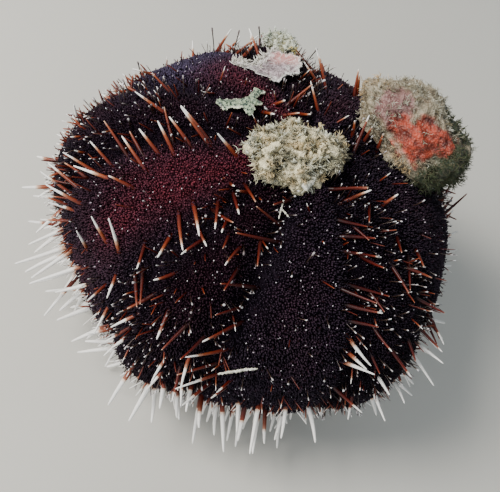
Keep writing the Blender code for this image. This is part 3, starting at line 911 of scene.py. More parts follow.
spines = {
    "dome": (0.0110, 0.00112),  # length and width
    "edge": (0.0136, 0.00158),
    "mouth": (0.0072, 0.00120),
    "small": (0.0040, 0.00052),
    "bluntForm": (  # shares of the length and of the width
        (0.0, 0.46), (0.10, 0.50), (0.40, 0.42), (0.72, 0.29), (0.95, 0.18), (0.99, 0.11), (1.0, 0.0),
    ),
    "pointedForm": (
        (0.0, 0.44), (0.12, 0.50), (0.40, 0.45), (0.70, 0.35), (0.93, 0.23), (0.985, 0.14), (1.0, 0.0),
    ),
    "bends": (0.0, 0.5, 1.1),
    "colours": (  # place along the spine, plus its paleness times the gain
        (0.0, (0.040, 0.004, 0.002)), (0.25, (0.110, 0.012, 0.005)), (0.50, (0.200, 0.030, 0.009)),
        (0.68, (0.340, 0.086, 0.028)), (0.80, (0.700, 0.440, 0.290)), (0.88, (0.970, 0.940, 0.890)),
    ),
    "paleGain": 0.9,
    "rowStep": 0.0051,
    "rowEnds": (79, 4),  # rises in degrees
    # degrees from the band's middle, a spine at every so many places, wide band or not
    "rows": ((16.8, 1, 1), (11.8, 3, 1), (9.3, 2, 0), (3.8, 5, 0)),
    "fullBelow": 12,  # rise below which no place is left out
    "lowStep": 0.0060,
    "lowSpacing": 0.0076,
    "lowEnds": (-3, -74),
    "placeShake": 0.012,  # in radians
    "stripLean": (0.85, -0.30),  # lean over the bare strips, in the wide bands and in the narrow ones
    "leanShake": (0.22, 0.20),  # sideways and along the body
    "lengths": (0.60, 1.16),  # least and most, as shares
    "widths": (0.86, 1.10),
    "narrowLength": 0.80,  # of the narrow bands' spines
    "shortest": 0.002,
    "missing": 0.22,  # share of the dome's places that stand empty
    "lowMissing": 0.24,
    # middle and half width of a side, lowest rise, share missing there
    "bands": ((112, 30, 45, 0.66), (226, 28, 12, 0.04), (184, 24, 4, 0.74)),
    # azimuth and width where the low spines are longest, and by how much
    "longSide": (222, 36, 0.16),
    # azimuth and width where the edge has short dark stubs, and how much shorter
    "shortSide": (184, 26, 0.42),
    "plainTips": 0.45,  # share of the dome's spines with no white tip
    "shadedSide": 332,  # azimuth away from the light, where the spines get the most painted shade
    "floorGap": 0.0010,
    "rootDepth": 0.0004,  # how far a root goes into the skin
    # foot: azimuth and rise; tip: azimuth, rise and height over the velvet; white share of the length
    "landmarks": (
        (320, 34, 324, 26, 0.0045, 0.60), (320, 28, 324, 25, 0.0040, 0.45), (319, 23, 326, 24, 0.0045, 0.62),
        (240, 21, 234, 32, 0.0060, 0.50), (230, 5, 229, 18, 0.0060, 0.40), (235, 18, 228, 24, 0.0050, 0.32),
        (222, 44, 210, 44, 0.0060, 0.14), (216, 50, 208, 49, 0.0050, 0.20), (218, 54, 206, 55, 0.0050, 0.22),
        (215, 60, 205, 58, 0.0050, 0.10), (218, 32, 213, 26, 0.0060, 0.45), (225, 38, 220, 36, 0.0040, 0.06),
        (240, 48, 254, 45, 0.0060, 0.10), (246, 42, 251, 38, 0.0050, 0.20), (240, 53, 256, 52, 0.0060, 0.24),
        (231, 72, 218, 68, 0.0060, 0.26), (160, 76, 154, 80, 0.0030, 0.04), (162, 80, 149, 84, 0.0030, 0.02),
        (132, 80, 122, 86, 0.0030, 0.05), (171, 76, 184, 81, 0.0030, 0.12), (192, 13, 194, 25, 0.0060, 0.62),
        (347, 14, 344, 12, 0.0095, 0.75), (349, 16, 347, 18, 0.0090, 0.70), (358, 10, 356, 8, 0.0070, 0.70),
        (341, 5, 338, 8, 0.0070, 0.70), (332, 15, 329, 18, 0.0072, 0.80), (334, 5, 331, 4, 0.0085, 0.75),
        (52, 77, 61, 78, 0.0044, 0.02), (46, 74, 52, 75, 0.0044, 0.02), (40, 70, 46, 72, 0.0044, 0.02),
        (82, 58, 90, 60, 0.0070, 0.02), (81, 56, 88, 61, 0.0066, 0.02), (328, 74, 350, 74, 0.0042, 0.16),
        (359, 66, 2, 68, 0.0040, 0.10),
    ),
    "landmarkReach": 0.0036,  # no other spine stands this close to one of them
    "clearSpots": (  # azimuth, rise and reach where no spine of the rows stands
        (211, 73, 0.0045), (190, 80, 0.0050), (116, 72, 0.0055), (62, 75, 0.0068), (350, 76, 0.0068),
    ),
    "smallStep": 0.0026,
    "smallEnds": (-62, 84),
    "smallShares": (0.17, 0.03, 0.45, 0.62),  # of the places: narrow bands, wide bands, underside, stubs
    "smallBand": 20,  # half width of a narrow band for them, in degrees
    "smallLengths": (0.5, 1.35),
    "smallWidths": (0.8, 1.35),
    "smallRoot": 0.0003,
    "smallGap": 0.0006,
}


def risesByArc(start, end, step):  # rises in even steps along the body, from start to end in degrees
    fine = np.linspace(math.radians(start), math.radians(end), 400)
    points = bodyPoints(body["firstCorner"], fine)
    lengths = np.concatenate([[0], np.cumsum(np.linalg.norm(np.diff(points, axis=0), axis=1))])
    return np.interp(np.linspace(0, lengths[-1], round(lengths[-1] / step) + 1), lengths, fine)


def roundAt(rise, step, fewest):  # how many places a ring of the body has
    ring = bodyPoints(0.0, rise)
    return max(fewest, round(fullTurn * math.hypot(ring[0], ring[1]) / step))


def rowPlaces():
    places = []  # azimuth, rise, side, wide band or not
    for corner in range(5):
        narrow = body["firstCorner"] + fifth * corner
        for count, rise in enumerate(risesByArc(*spines["rowEnds"], spines["rowStep"])):
            for offset, every, isWide in spines["rows"]:
                if count % every == 0 or rise < math.radians(spines["fullBelow"]):
                    centre = narrow + isWide * fifth / 2
                    for side in (-1, 1):
                        places.append((centre + side * math.radians(offset), rise, side, isWide))
    for count, rise in enumerate(risesByArc(*spines["lowEnds"], spines["lowStep"])):
        around = roundAt(rise, spines["lowSpacing"], 12)
        for step in range(around):
            turn = fullTurn * (step + 0.5 * (count % 2)) / around
            offset = (turn - body["firstCorner"] + fifth / 2) % fifth - fifth / 2
            places.append((turn, rise, math.copysign(1, offset), int(abs(offset) > body["narrowHalf"])))
    return np.array(places)


def markRows():
    marks = np.array(spines["landmarks"])
    angles = np.radians(marks[:, :4])
    foot = bodyPoints(angles[:, 0], angles[:, 1], -skin["coatDepth"] - spines["rootDepth"])
    tip = bodyPoints(angles[:, 2], angles[:, 3], marks[:, 4])
    every = np.ones(len(marks))
    return {
        "foot": foot,
        "heading": unit(tip - foot),
        "width": spines["dome"][1] * 1.08 * every,
        "length": np.linalg.norm(tip - foot, axis=1),
        "pale": (marks[:, 5] - 0.14) / spines["paleGain"],  # with no paleness the last 0.14 is white
        "tone": 0.15 * every,
    }


def stubShare(azimuth, degrees):
    peak, spread, shorter = spines["shortSide"]
    return hump(azimuth, peak, spread) * ease(degrees, 38, -12) * ease(degrees, -30, 12)


def picked(rows, keep):
    return {name: values[keep] for name, values in rows.items()}


def spineRows():
    places = rowPlaces()
    count = len(places)
    azimuth = places[:, 0] + dice.normal(0, spines["placeShake"], count)
    rise = places[:, 1] + dice.normal(0, spines["placeShake"], count)
    side, isWide = places[:, 2], places[:, 3] == 1
    degrees = np.degrees(rise)
    # on the dome the spines lean over the bare strips, and near the mouth they point down
    strip = np.where(isWide, *spines["stripLean"])
    onDome, below = ease(degrees, -4, 12), ease(degrees, -30, -15)
    sideShake, upShake = spines["leanShake"]
    leanAcross = side * (0.10 + (strip - 0.10) * onDome) + dice.normal(0, sideShake, count)
    leanUp = 0.65 * below - (0.22 + (0.53 - 0.55 * strip) * onDome) + dice.normal(0, upShake, count)
    heading = leaning(azimuth, rise, leanAcross, leanUp)
    toDome, toMouth = ease(degrees, -6, 10), ease(degrees, -28, -34)
    dome, edge, mouth = [np.array(spines[zone]) for zone in ("dome", "edge", "mouth")]
    length, width = (edge + (dome - edge) * toDome[:, None] + (mouth - edge) * toMouth[:, None]).T
    peak, spread, more = spines["longSide"]
    length = length * (1 + more * hump(azimuth, peak, spread) * (1 - toDome))
    length = length * np.where(isWide, 1.0, spines["narrowLength"]) * dice.uniform(*spines["lengths"], count)
    stubby = stubShare(azimuth, degrees)
    length = length * (1 - spines["shortSide"][2] * stubby)
    width = width * dice.uniform(*spines["widths"], count)
    # paleness: white tips on some, longer ones towards the edge, and nearly white spines under it
    pale = np.clip(dice.normal(0.0, 0.03, count), 0, 0.1)
    pale = pale + ease(degrees, 34, -30) * dice.uniform(0, 0.75, count) ** 1.4
    bright = dice.uniform(0.48, 0.80, count) - 0.4 * (dice.uniform(0, 1, count) < 0.12)
    # painted shade on the side away from the light: darker spines, more plain tips and less paleness there;
    # more places also stand empty there
    awayFromLight = np.cos(azimuth - math.radians(spines["shadedSide"]))
    plain = (degrees > 14) & (dice.uniform(0, 1, count) < spines["plainTips"] + 0.3 * awayFromLight)
    pale = np.where(degrees < 0, bright, np.where(plain, -0.20, pale - 0.08 * awayFromLight))
    pale = pale - 0.6 * stubby * np.clip(pale, 0, 1)
    # the lowest ones end above the floor
    foot = bodyPoints(azimuth, rise, -skin["coatDepth"] - spines["rootDepth"])
    length = length + skin["coatDepth"]
    tip = foot + heading * length[:, None]
    toFloor = (foot[:, 2] - spines["floorGap"]) / np.maximum(-heading[:, 2], 1e-3)
    length = np.where(tip[:, 2] < spines["floorGap"], toFloor, length)
    keep = ~underLoads(foot, spines["rootDepth"]) & (length > spines["shortest"])
    for share in (0.5, 0.75, 1.0):
        keep &= ~underLoads(foot + heading * length[:, None] * share, 0.0)
    missing = np.where(degrees < 2, spines["lowMissing"], spines["missing"] + 0.16 * awayFromLight)
    for centre, half, lowest, share in spines["bands"]:
        isNear = np.abs((np.degrees(azimuth) - centre + 180) % 360 - 180) < half
        missing = np.where(isNear & (degrees > lowest), share, missing)
    keep &= dice.uniform(0, 1, count) > missing
    # the tone carries the painted shade of the side away from the light, with some random spread
    tone = np.clip(0.55 + 0.60 * awayFromLight + dice.normal(0, 0.2, count), 0, 1)
    marks = markRows()
    keep &= np.linalg.norm(foot[:, None] - marks["foot"][None], axis=2).min(1) > spines["landmarkReach"]
    for turn, height, reach in spines["clearSpots"]:
        keep &= np.linalg.norm(foot - bodyPoints(math.radians(turn), math.radians(height)), axis=1) > reach
    rows = {"foot": foot, "heading": heading, "width": width, "length": length, "pale": pale, "tone": tone}
    dome, low = [picked(rows, keep & half) for half in (degrees >= 0, degrees < 0)]
    return {name: np.concatenate([values, marks[name]]) for name, values in dome.items()}, low


def ringSpots(step, lowest, highest):  # shaken places all over the body
    azimuths, rises = [], []
    for rise in risesByArc(highest, lowest, step):
        count = roundAt(rise, step, 5)
        shaken = np.arange(count) + dice.uniform(-0.42, 0.42, count)
        azimuths.append(shaken * fullTurn / count + dice.uniform(0, 6))
        rises.append(rise + dice.uniform(-0.42, 0.42, count) * step / body["radius"])
    return np.concatenate(azimuths), np.concatenate(rises)


def standing(azimuth, rise, heading, length, rootDepth, gap):
    # the foot of each small thing, and whether it stands clear of the loads and the floor
    foot = bodyPoints(azimuth, rise, -skin["coatDepth"] - rootDepth)
    tip = foot + heading * length[:, None]
    return foot, ~(underLoads(foot, gap) | underLoads(tip, 0.0)) & (tip[:, 2] > gap)


def smallSpineRows():
    azimuth, rise = ringSpots(spines["smallStep"], *spines["smallEnds"])
    below, stubby = ease(np.degrees(rise), 10, -16), stubShare(azimuth, np.degrees(rise))
    inNarrow, inWide, underside, stubs = spines["smallShares"]
    share = np.where(np.degrees(fromCorner(azimuth)) < spines["smallBand"], inNarrow, inWide)
    share = np.maximum(share, np.maximum(underside * below, stubs * stubby))
    keep = dice.uniform(0, 1, len(azimuth)) < share
    azimuth, rise, stubby = azimuth[keep], rise[keep], stubby[keep]
    count = len(azimuth)
    heading = leaning(azimuth, rise, dice.uniform(-0.7, 0.7, count), dice.uniform(-0.8, 0.3, count))
    length = spines["small"][0] * dice.uniform(*spines["smallLengths"], count) + skin["coatDepth"]
    width = spines["small"][1] * dice.uniform(*spines["smallWidths"], count) * (1 + 0.7 * stubby)
    foot, keep = standing(azimuth, rise, heading, length, spines["smallRoot"], spines["smallGap"])
    pale = np.where(np.degrees(rise) < -4, 0.5, 0.05) * dice.uniform(0, 1.3, count)
    pale = np.where((np.degrees(rise) > 0) & (dice.uniform(0, 1, count) < 0.8), -0.30, pale)
    return picked({"foot": foot, "heading": heading, "width": width, "length": length, "pale": pale}, keep)


def plantSpines(name, form, sides, shape, rows):
    plantPieces(name, bentSet(form, form, sides, spines[shape], spines["bends"]), spinePaint, rows)


spinePaint = spineMaterial()
domeRows, lowRows = spineRows()
plantSpines("domeSpines", "bluntSpine", 8, "bluntForm", domeRows)
plantSpines("lowSpines", "pointedSpine", 8, "pointedForm", lowRows)
plantSpines("smallSpines", "smallSpine", 5, "bluntForm", smallSpineRows())
print("spines ready")


# tube feet with pale suckers

feet = {
    "length": 0.0040,
    "stalk": 0.00030,
    "sucker": 0.00043,
    "bends": (0.0, 1.6, 3.2),  # in widths
    "step": 0.0022,
    "colours": (
        (0.0, (0.030, 0.014, 0.012)), (0.55, (0.055, 0.030, 0.022)), (0.80, (0.130, 0.085, 0.060)),
        (0.88, (0.780, 0.720, 0.700)), (1.0, (0.900, 0.870, 0.880)),
    ),
    "ends": (-66, 86),
    "shares": (0.40, 0.18, 0.035),  # of the places in the narrow bands, at their edges and elsewhere
    "bandEdges": (17.5, 23),  # degrees from a narrow band's middle
    "lean": (0.22, 0.25),  # sideways and along the body
    "lengths": (0.45, 1.25),
    "widths": (0.55, 1.0),
    "bigShare": 0.08,  # of the feet, with suckers wider by so much
    "bigMore": 0.7,
    "topStalks": ((173.5, 27.5), (147.5, 38), (144, 45), (137, 49), (129.5, 45), (114.5, 56)),
    "topLength": 0.0086,
    "topWidth": 1.2,
    "rootDepth": 0.0002,
    "gap": 0.0008,
}


def footTemplates():
    parts = []
    thin, wide = 0.5 * feet["stalk"] / feet["sucker"], 0.5
    rings = [(0.0, thin), (0.5, thin * 0.8), (0.86, thin)]
    rings += [(0.92, wide), (0.985, wide * 0.94), (1.0, wide * 0.45), (1.003, 0.0)]  # the sucker
    for index, bend in enumerate(feet["bends"]):
        made = templateRod(f"foot{index}", 7, rings)
        points = meshRows(made.data)
        points[:, 0] += bend * np.clip(points[:, 2], 0, 1) ** 2
        setPoints(made.data, points)
        parts.append(made)
    return templateSet("footForms", parts)


def footRows():
    azimuth, rise = ringSpots(feet["step"], *feet["ends"])
    inner = np.degrees(fromCorner(azimuth))
    (inBand, atEdge, elsewhere), (near, far) = feet["shares"], feet["bandEdges"]
    share = np.where(inner < near, inBand, np.where(inner < far, atEdge, elsewhere))
    keep = dice.uniform(0, 1, len(azimuth)) < share
    tops = np.radians(feet["topStalks"])
    azimuth, rise = np.append(azimuth[keep], tops[:, 0]), np.append(rise[keep], tops[:, 1])
    count = len(azimuth)
    isTop = np.arange(count) >= count - len(tops)
    sway, tilt = [dice.normal(0, spread, count) for spread in feet["lean"]]
    heading = leaning(azimuth, rise, sway, tilt + 0.3 * isTop)
    length = np.where(isTop, feet["topLength"], feet["length"] * dice.uniform(*feet["lengths"], count))
    length = length + skin["coatDepth"] * 0.6
    width = dice.uniform(*feet["widths"], count)
    width = width + feet["bigMore"] * (dice.uniform(0, 1, count) > 1 - feet["bigShare"])
    width = feet["sucker"] * np.where(isTop, feet["topWidth"], width)
    foot, keep = standing(azimuth, rise, heading, length, feet["rootDepth"], feet["gap"])
    tone = np.where(isTop, 1.0, dice.uniform(0, 1, count))
    return picked({"foot": foot, "heading": heading, "width": width, "length": length, "tone": tone}, keep)


plantPieces("tubeFeet", footTemplates(), footMaterial(), footRows())
print("tube feet ready")

finishPiece(
    skinObject, "velvet",
    *[f"ambulacrum_{index}" for index in range(1, 6)], *[f"interambulacrum_{index}" for index in range(1, 6)],
)


# crown and mouth

crown = {  # distance from the apex and half width of the plates
    "wide": (0.0034, 0.0017),
    "narrow": (0.0052, 0.0011),
    "middle": (0.0, 0.0013),
    "thickness": 0.0009,
    "sunk": 0.0008,
}


def crownMesh():
    material = crustedMaterial(
        "crownSkin", (0.022, 0.010, 0.016), (0.060, 0.022, 0.030), (0.11, 0.06, 0.07),
        0.55, 500.0, 2600.0, 0.0003,
    )
    parts = []
    for index, (distance, width) in enumerate([crown["wide"], crown["narrow"]] * 5 + [crown["middle"]]):
        turn = body["firstCorner"] + fifth * (index // 2 + 0.5 * (1 - index % 2))
        rise = math.acos((distance / body["radius"]) ** 1.1) if distance else math.radians(89.9)
        plate = ballObject("plate", 3, material)
        points = meshRows(plate.data)
        bumps = 1 + 0.12 * noiseAt(points, 3, (index, 0, 0))
        centre = bodyPoints(turn, rise, -crown["sunk"])
        setPoints(plate.data, centre + points * np.array([width, width, crown["thickness"]]) * bumps[:, None])
        parts.append(plate)
    return joinObjects(parts, "crownPlates")


mouth = {
    "rim": (0.0142, 0.0062),  # radius, and height over the floor's clearance
    "lip": 0.0030,
    "lips": ((0.0022, 0.0034), (0.0016, 0.0060)),
    "rings": 26,
    "sides": 60,
    "folds": (30, 0.0001),  # how many round the mouth, and their depth
    "teethFrom": (0.0046, 0.0044),  # distance from the axis and height of a tooth's root
    "teethReach": (0.0039, 0.0054),  # inwards and down
    "teethSize": (0.0012, 0.0008),
    "teethRings": 7,
    "teethSides": 8,
}


def mouthMesh():
    material = crustedMaterial(
        "mouthSkin", (0.10, 0.030, 0.030), (0.22, 0.085, 0.070), (0.32, 0.18, 0.14),
        0.42, 420.0, 2400.0, 0.0003,
    )
    floor = body["floorClearance"]
    outer, high = mouth["rim"]
    profile = [(outer, floor + high)]
    for step in range(mouth["rings"]):  # from the rim in to the lips, a low dome with fine rings
        share = step / (mouth["rings"] - 1)
        drop = 0.0047 + 0.0010 * math.cos(math.pi * (1 - share)) - 0.0001 * math.cos(9 * math.pi * share)
        profile.append((outer * (1 - share) + mouth["lip"] * share, floor + drop - 0.0022))
    profile += [(radius, floor + height) for radius, height in mouth["lips"]]
    points = [(radius * x, radius * y, height) for radius, height in profile for x, y in circle(mouth["sides"])]
    made = newObject("mouthDisc", points, cappedFaces(len(profile), mouth["sides"]), material)
    folds, depth = mouth["folds"]
    for vert in made.data.vertices:
        turn = math.atan2(vert.co.y, vert.co.x)
        fold = depth * math.sin(folds * turn) * min(1, 0.008 / max(0.003, math.hypot(vert.co.x, vert.co.y)))
        vert.co.z += fold + 0.0003 * noise.noise(vert.co * 350)
    return made


def teethMesh():
    ivory = crustedMaterial(
        "teeth", (0.62, 0.58, 0.48), (0.80, 0.77, 0.70), (0.88, 0.86, 0.82), 0.28, 700.0, 3000.0, 0.0001
    )
    rings, sides = mouth["teethRings"], mouth["teethSides"]
    (fromAxis, height), (inwards, down) = mouth["teethFrom"], mouth["teethReach"]
    width, depth = mouth["teethSize"]
    faces = [(face[0], *face[:0:-1]) for face in ringFaces(rings, sides)]
    faces += [tuple(range(sides)), tuple(range((rings - 1) * sides, rings * sides))[::-1]]
    parts = []
    for index in range(5):
        turn = body["firstCorner"] + fifth * index
        out = Vector((math.cos(turn), math.sin(turn), 0))
        aside = Vector((-math.sin(turn), math.cos(turn), 0))
        points = []
        for ring in range(rings):
            share = ring / (rings - 1)
            centre = out * (fromAxis - inwards * share**1.4)
            centre += Vector((0, 0, body["floorClearance"] + height - down * share))
            wide, deep = width * (1 - 0.55 * share), depth * (1 - 0.6 * share)
            points += [centre + aside * wide * x + out * deep * y for x, y in circle(sides)]
        parts.append(newObject("tooth", points, faces, ivory))
    return joinObjects(parts, "teeth")


finishPiece(crownMesh(), "crown", "crown")
finishPiece(mouthMesh(), "mouth", "mouth")
finishPiece(teethMesh(), "mouth")
print("crown and mouth ready")


# carried pieces

def liftClear(points, gap):
    azimuth, rise, away = bodyPlaces(points)
    return np.where((away < gap)[:, None], bodyPoints(azimuth, rise, gap), points)


def lumpObject(name, detail, shape, material, fine, size):
    # shape: height and grain of the bumps, as in the solids; fine: folds in metres and their grain
    load = loads[name]
    made = ballObject(name, detail, material)
    mesh, points = made.data, meshRows(made.data)
    bumps = 1 + shape[0] * noiseAt(points, shape[1], Vector(load["spot"]) * 900)
    shares = points * bumps[:, None] * size
    shares[:, :2] *= lobeReach(load, points)
    setPoints(mesh, loadPlaces(load, shares))
    folds = np.zeros(len(points))
    for height, grain in fine:  # each pass folds the surface that the last one left
        placed = meshRows(mesh)
        fold = (0.5 - 1.7 * np.abs(noiseAt(placed, grain))) * height
        setPoints(mesh, placed + meshRows(mesh, "normal") * fold[:, None])
        folds += fold
    setPoints(mesh, liftClear(meshRows(mesh), 0.0002))
    storeValues(mesh, fold=0.5 + folds / sum(height for height, grain in fine))
    return made


def growOn(name, source, templates, material, slot, masks, **values):
    # masks: cover, growth, shade and warm of every point of the source, or one value for all
    made = linked(name, source.data.copy())
    made.data.materials.clear()
    for mask, preset in (("cover", 1.0), ("growth", 1.0), ("shade", 0.0), ("warm", 0.0)):
        storeValues(made.data, **{mask: np.broadcast_to(masks.get(mask, preset), len(made.data.vertices))})
    density = 3 / values["Spacing"] ** 2
    runTree(made, scatterTree, Pieces=templates, Material=material, Density=density, **values)
    finishCoat(made, slot)


def sprigTemplates(name, length, thick, branches, spread, flat=1.0, sides=4):
    # little branching bits: a bent stem with side branches that end in points
    parts = []
    for index in range(4):
        points, around, faces = [], [], []
        for branch in range(branches + 1):
            onSide = branch > 0
            turn = dice.uniform(0, fullTurn)
            foot = Vector((0, 0, length * dice.uniform(0.12, 0.55) if onSide else 0))
            lean = spread * (1.0 if onSide else 0.35)
            ahead = Vector((math.cos(turn) * lean, math.sin(turn) * lean, 1)).normalized()
            aside = ahead.orthogonal().normalized()
            beside = ahead.cross(aside)
            reach = length * (dice.uniform(0.40, 0.80) if onSide else 1.0)
            first = len(points)
            for share in (0.0, 0.35, 0.72, 1.0):
                centre = foot + ahead * reach * share + aside * 0.14 * length * math.sin(4 * share + branch)
                radius = thick * (1 - 0.55 * share) * (0.75 if onSide else 1.0)
                corners = circle(sides) if share < 1 else [(0, 0)]
                points += [centre + aside * radius * x * flat + beside * radius * y for x, y in corners]
                around += [side / sides for side in range(sides)] if share < 1 else [0.5]
            faces += ringFaces(3, sides, first) + tipFaces(first + 2 * sides, sides)
        made = newObject(f"{name}{index}", points, faces)
        along = np.clip(np.array([point.z for point in points]) / length, 0, 1)
        storeValues(made.data, along=along, around=around)
        parts.append(made)
    return templateSet(name, parts)


def blobMask(load, points, blobs, wander):
    # 1 inside any of the blobs, each a place in shares of the load's half sizes and a reach in metres
    mask = np.zeros(len(points))
    for *shares, reach in blobs:
        away = np.linalg.norm(points - loadPlaces(load, shares), axis=1)
        mask = np.maximum(mask, np.clip((1 - away / reach + 0.38 * wander) * 4, 0, 1))
    return mask


rubble = {
    "spots": {
        "mauve": ((-0.55, -0.66, 0.50, 0.0060),),
        "brown": ((0.42, -0.45, 0.72, 0.0066),),
        "green": (
            (0.80, -0.35, 0.10, 0.0125), (0.86, 0.10, -0.46, 0.0120), (0.45, 0.60, 0.70, 0.0100),
            (0.60, -0.42, 0.48, 0.0085), (0.90, -0.60, 0.0, 0.0090),
        ),
        "red": ((0.01, -0.84, 0.46, 0.0076), (0.22, -0.62, 0.72, 0.0052), (-0.33, -0.83, 0.37, 0.0036)),
        "warm": ((-0.99, -0.19, 0.18, 0.0066), (0.02, -1.00, 0.05, 0.0048), (0.19, -1.01, -0.07, 0.0040)),
    },
    "rock": ((0.17, 0.13, 0.08), (0.42, 0.37, 0.26)),  # the dark and the light of its patches
    "mauve": ((0.15, 0.055, 0.050), (0.34, 0.20, 0.18)),
    "brown": ((0.16, 0.05, 0.03), (0.34, 0.13, 0.08)),
    "red": ((0.085, 0.009, 0.007), (0.56, 0.070, 0.028)),
    "green": (0.030, 0.045, 0.018),
    "form": (0.22, 1.7),  # height and grain of the bumps
    "folds": ((0.0012, 190), (0.0008, 420), (0.0003, 1100)),
    "turf": (0.0017, 0.000085),  # length and thickness
    "turfSpacing": 0.00062,
}


def rubbleMaterial():
    made, tree = newMaterial("rubbleStone")
    grain = grainNode(tree, 420.0, 1500.0)
    colour = mixColour(tree, grain["Patches"], *rubble["rock"])
    for name in ("mauve", "brown", "green", "red"):
        paint = rubble[name] if name == "green" else mixColour(tree, grain["Patches"], *rubble[name])
        colour = mixColour(tree, attributeValue(tree, name), colour, paint)
    # painted shade: the stone darkens in the hollows of its folds
    hollowShade = mathNode(tree, "SUBTRACT", 1.15, times(tree, attributeValue(tree, "fold"), 1.6), clamp=True)
    colour = mixColour(tree, hollowShade, colour, (0.30, 0.26, 0.24), "MULTIPLY")
    pitted = mixColour(tree, strongest(tree, grain["Specks"], 3.0, 0.22), colour, (0.80, 0.52, 0.38))
    return finishMaterial(made, pitted, 0.5, (grain["Height"], 0.9, 0.0008))


def rubblePiece():
    made = lumpObject("rubble", 6, rubble["form"], rubbleMaterial(), rubble["folds"], 0.93)
    points = meshRows(made.data)
    wander = noiseAt(points, 210) + 0.7 * noiseAt(points, 560)
    masks = {name: blobMask(loads["rubble"], points, blobs, wander) for name, blobs in rubble["spots"].items()}
    clumps = noiseAt(points, 300) + 0.6 * noiseAt(points, 700)
    cover = np.clip(0.55 + 1.9 * clumps, 0.06, 1) * (1 - 0.90 * masks["red"]) * (1 - 0.25 * masks["mauve"])
    cover[bodyPlaces(points)[2] < 0.0009] = 0
    growth = np.clip(0.90 + 0.3 * masks["green"] + 0.7 * clumps, 0.4, 1.45)
    warm = 0.8 * masks.pop("warm")
    storeValues(made.data, **masks)
    turf = turfMaterial(
        "rubbleTurf", (0.24, 0.20, 0.105), (1.0, 0.97, 0.80), (0.035, 0.065, 0.024), (0.12, 0.09, 0.045),
        (0.86, 0.56, 0.25),
    )
    growOn(
        "rubbleTurf", made, sprigTemplates("turf", *rubble["turf"], 2, 0.9, sides=3), turf, "rubble",
        {"cover": cover, "growth": growth, "shade": masks["green"], "warm": warm},
        Spacing=rubble["turfSpacing"], Lean=1.0, Smallest=0.6, Largest=1.3, Seed=4,
    )
    finishPiece(made, "rubble", "carried_rubble")


rubblePiece()
print("rubble ready")


coral = {
    "coreSize": 0.75,
    "form": (0.40, 2.2),
    "folds": ((0.0042, 150), (0.0024, 340), (0.0009, 900)),
    "flake": (0.0016, 0.00046),  # length and width
    "flakeSpacing": 0.0016,
    "fringe": (0.0016, 0.00013),
    "fringeSpacing": 0.00072,
}


def coralPiece():
    core = foldedMaterial("coralCore", (0.035, 0.026, 0.012), (0.90, 0.79, 0.50), (0.97, 0.93, 0.76), 620.0)
    made = lumpObject("coral", 6, coral["form"], core, coral["folds"], coral["coreSize"])
    points, fold = meshRows(made.data), readValues(made.data, "fold")
    clumps, pockets = noiseAt(points, 420), noiseAt(points, 170)
    cover = np.where(bodyPlaces(points)[2] < 0.0006, 0.0, 1.0) * np.clip((fold - 0.25) * 3, 0.12, 1)
    masks = {
        "growth": np.clip(0.25 + 1.1 * fold + 1.2 * clumps, 0.35, 1.8),
        "shade": np.clip(1.95 - 2.7 * fold - 1.5 * clumps - 1.3 * pockets, 0, 1),  # painted shade deep in the folds, plus darker random pockets
        "warm": np.clip(noiseAt(points, 210, (5, 0, 0)) * 3 - 0.2, 0, 0.8),
    }
    # the sprigs take painted shade in the coral's folds and at their roots
    pale = turfMaterial(
        "coralSprigs", (0.30, 0.275, 0.145), (0.98, 0.97, 0.79), (0.062, 0.052, 0.022), (0.040, 0.030, 0.014),
        (0.84, 0.62, 0.30),
    )
    growOn(
        "coralFlakes", made, sprigTemplates("coralFlake", *coral["flake"], 3, 1.1, 0.45, 5), pale, "coral",
        {**masks, "cover": cover * np.clip(0.35 + 3.0 * clumps, 0.03, 1)},
        Spacing=coral["flakeSpacing"], Lean=0.9, Smallest=0.5, Largest=1.15, Seed=5,
    )
    growOn(
        "coralFringe", made, sprigTemplates("coralThread", *coral["fringe"], 3, 1.2), pale, "coral",
        {**masks, "cover": cover * np.clip(0.6 + 2.2 * clumps + pockets, 0.15, 1)},
        Spacing=coral["fringeSpacing"], Lean=0.9, Smallest=0.5, Largest=1.3, Seed=8,
    )
    finishPiece(made, "coral", "carried_coral")


coralPiece()
print("coral ready")


crust = {
    "reach": 0.70,  # shares of the flake's half length
    "shift": -0.30,
    # direction in degrees, how much further the flake goes there, width
    "lobes": ((45, 0.75, 15), (-51, 0.24, 20), (78, 0.18, 17), (114, 0.12, 18)),
    "ragged": 0.17,
    "notches": (3, 9, 22),  # grain, coarse to fine
    "waves": ((0.50, 2.2, 3), (0.20, 7, 1), (0.07, 19, 7)),  # height, grain and layer of the noise
    "veins": 17,
    "sheets": (0.22, -0.48),  # upper and lower face of the flake
    "rings": 30,
    "sides": 140,
    "thread": (0.0016, 0.00016),  # length and thickness of the white fringe
    "threadSpacing": 0.00050,
}


def crustMaterial():
    made, tree = newMaterial("pinkCrust")
    grain = grainNode(tree, 900.0, 2200.0)
    mottled = contrast(tree, grain["Patches"], 2.6, 0.85)
    mauve = mixColour(tree, mottled, (0.11, 0.060, 0.074), (0.40, 0.30, 0.325))
    pinked = mixColour(tree, attributeValue(tree, "blush"), mauve, (0.58, 0.19, 0.16))
    frost = mathNode(tree, "ADD", grain["Specks"], 0.35)
    frosted = mathNode(tree, "MULTIPLY", attributeValue(tree, "rim"), frost, clamp=True)
    colour = mixColour(tree, frosted, pinked, (0.92, 0.92, 0.86))
    return finishMaterial(made, colour, 0.5, (grain["Height"], 0.9, 0.0006))


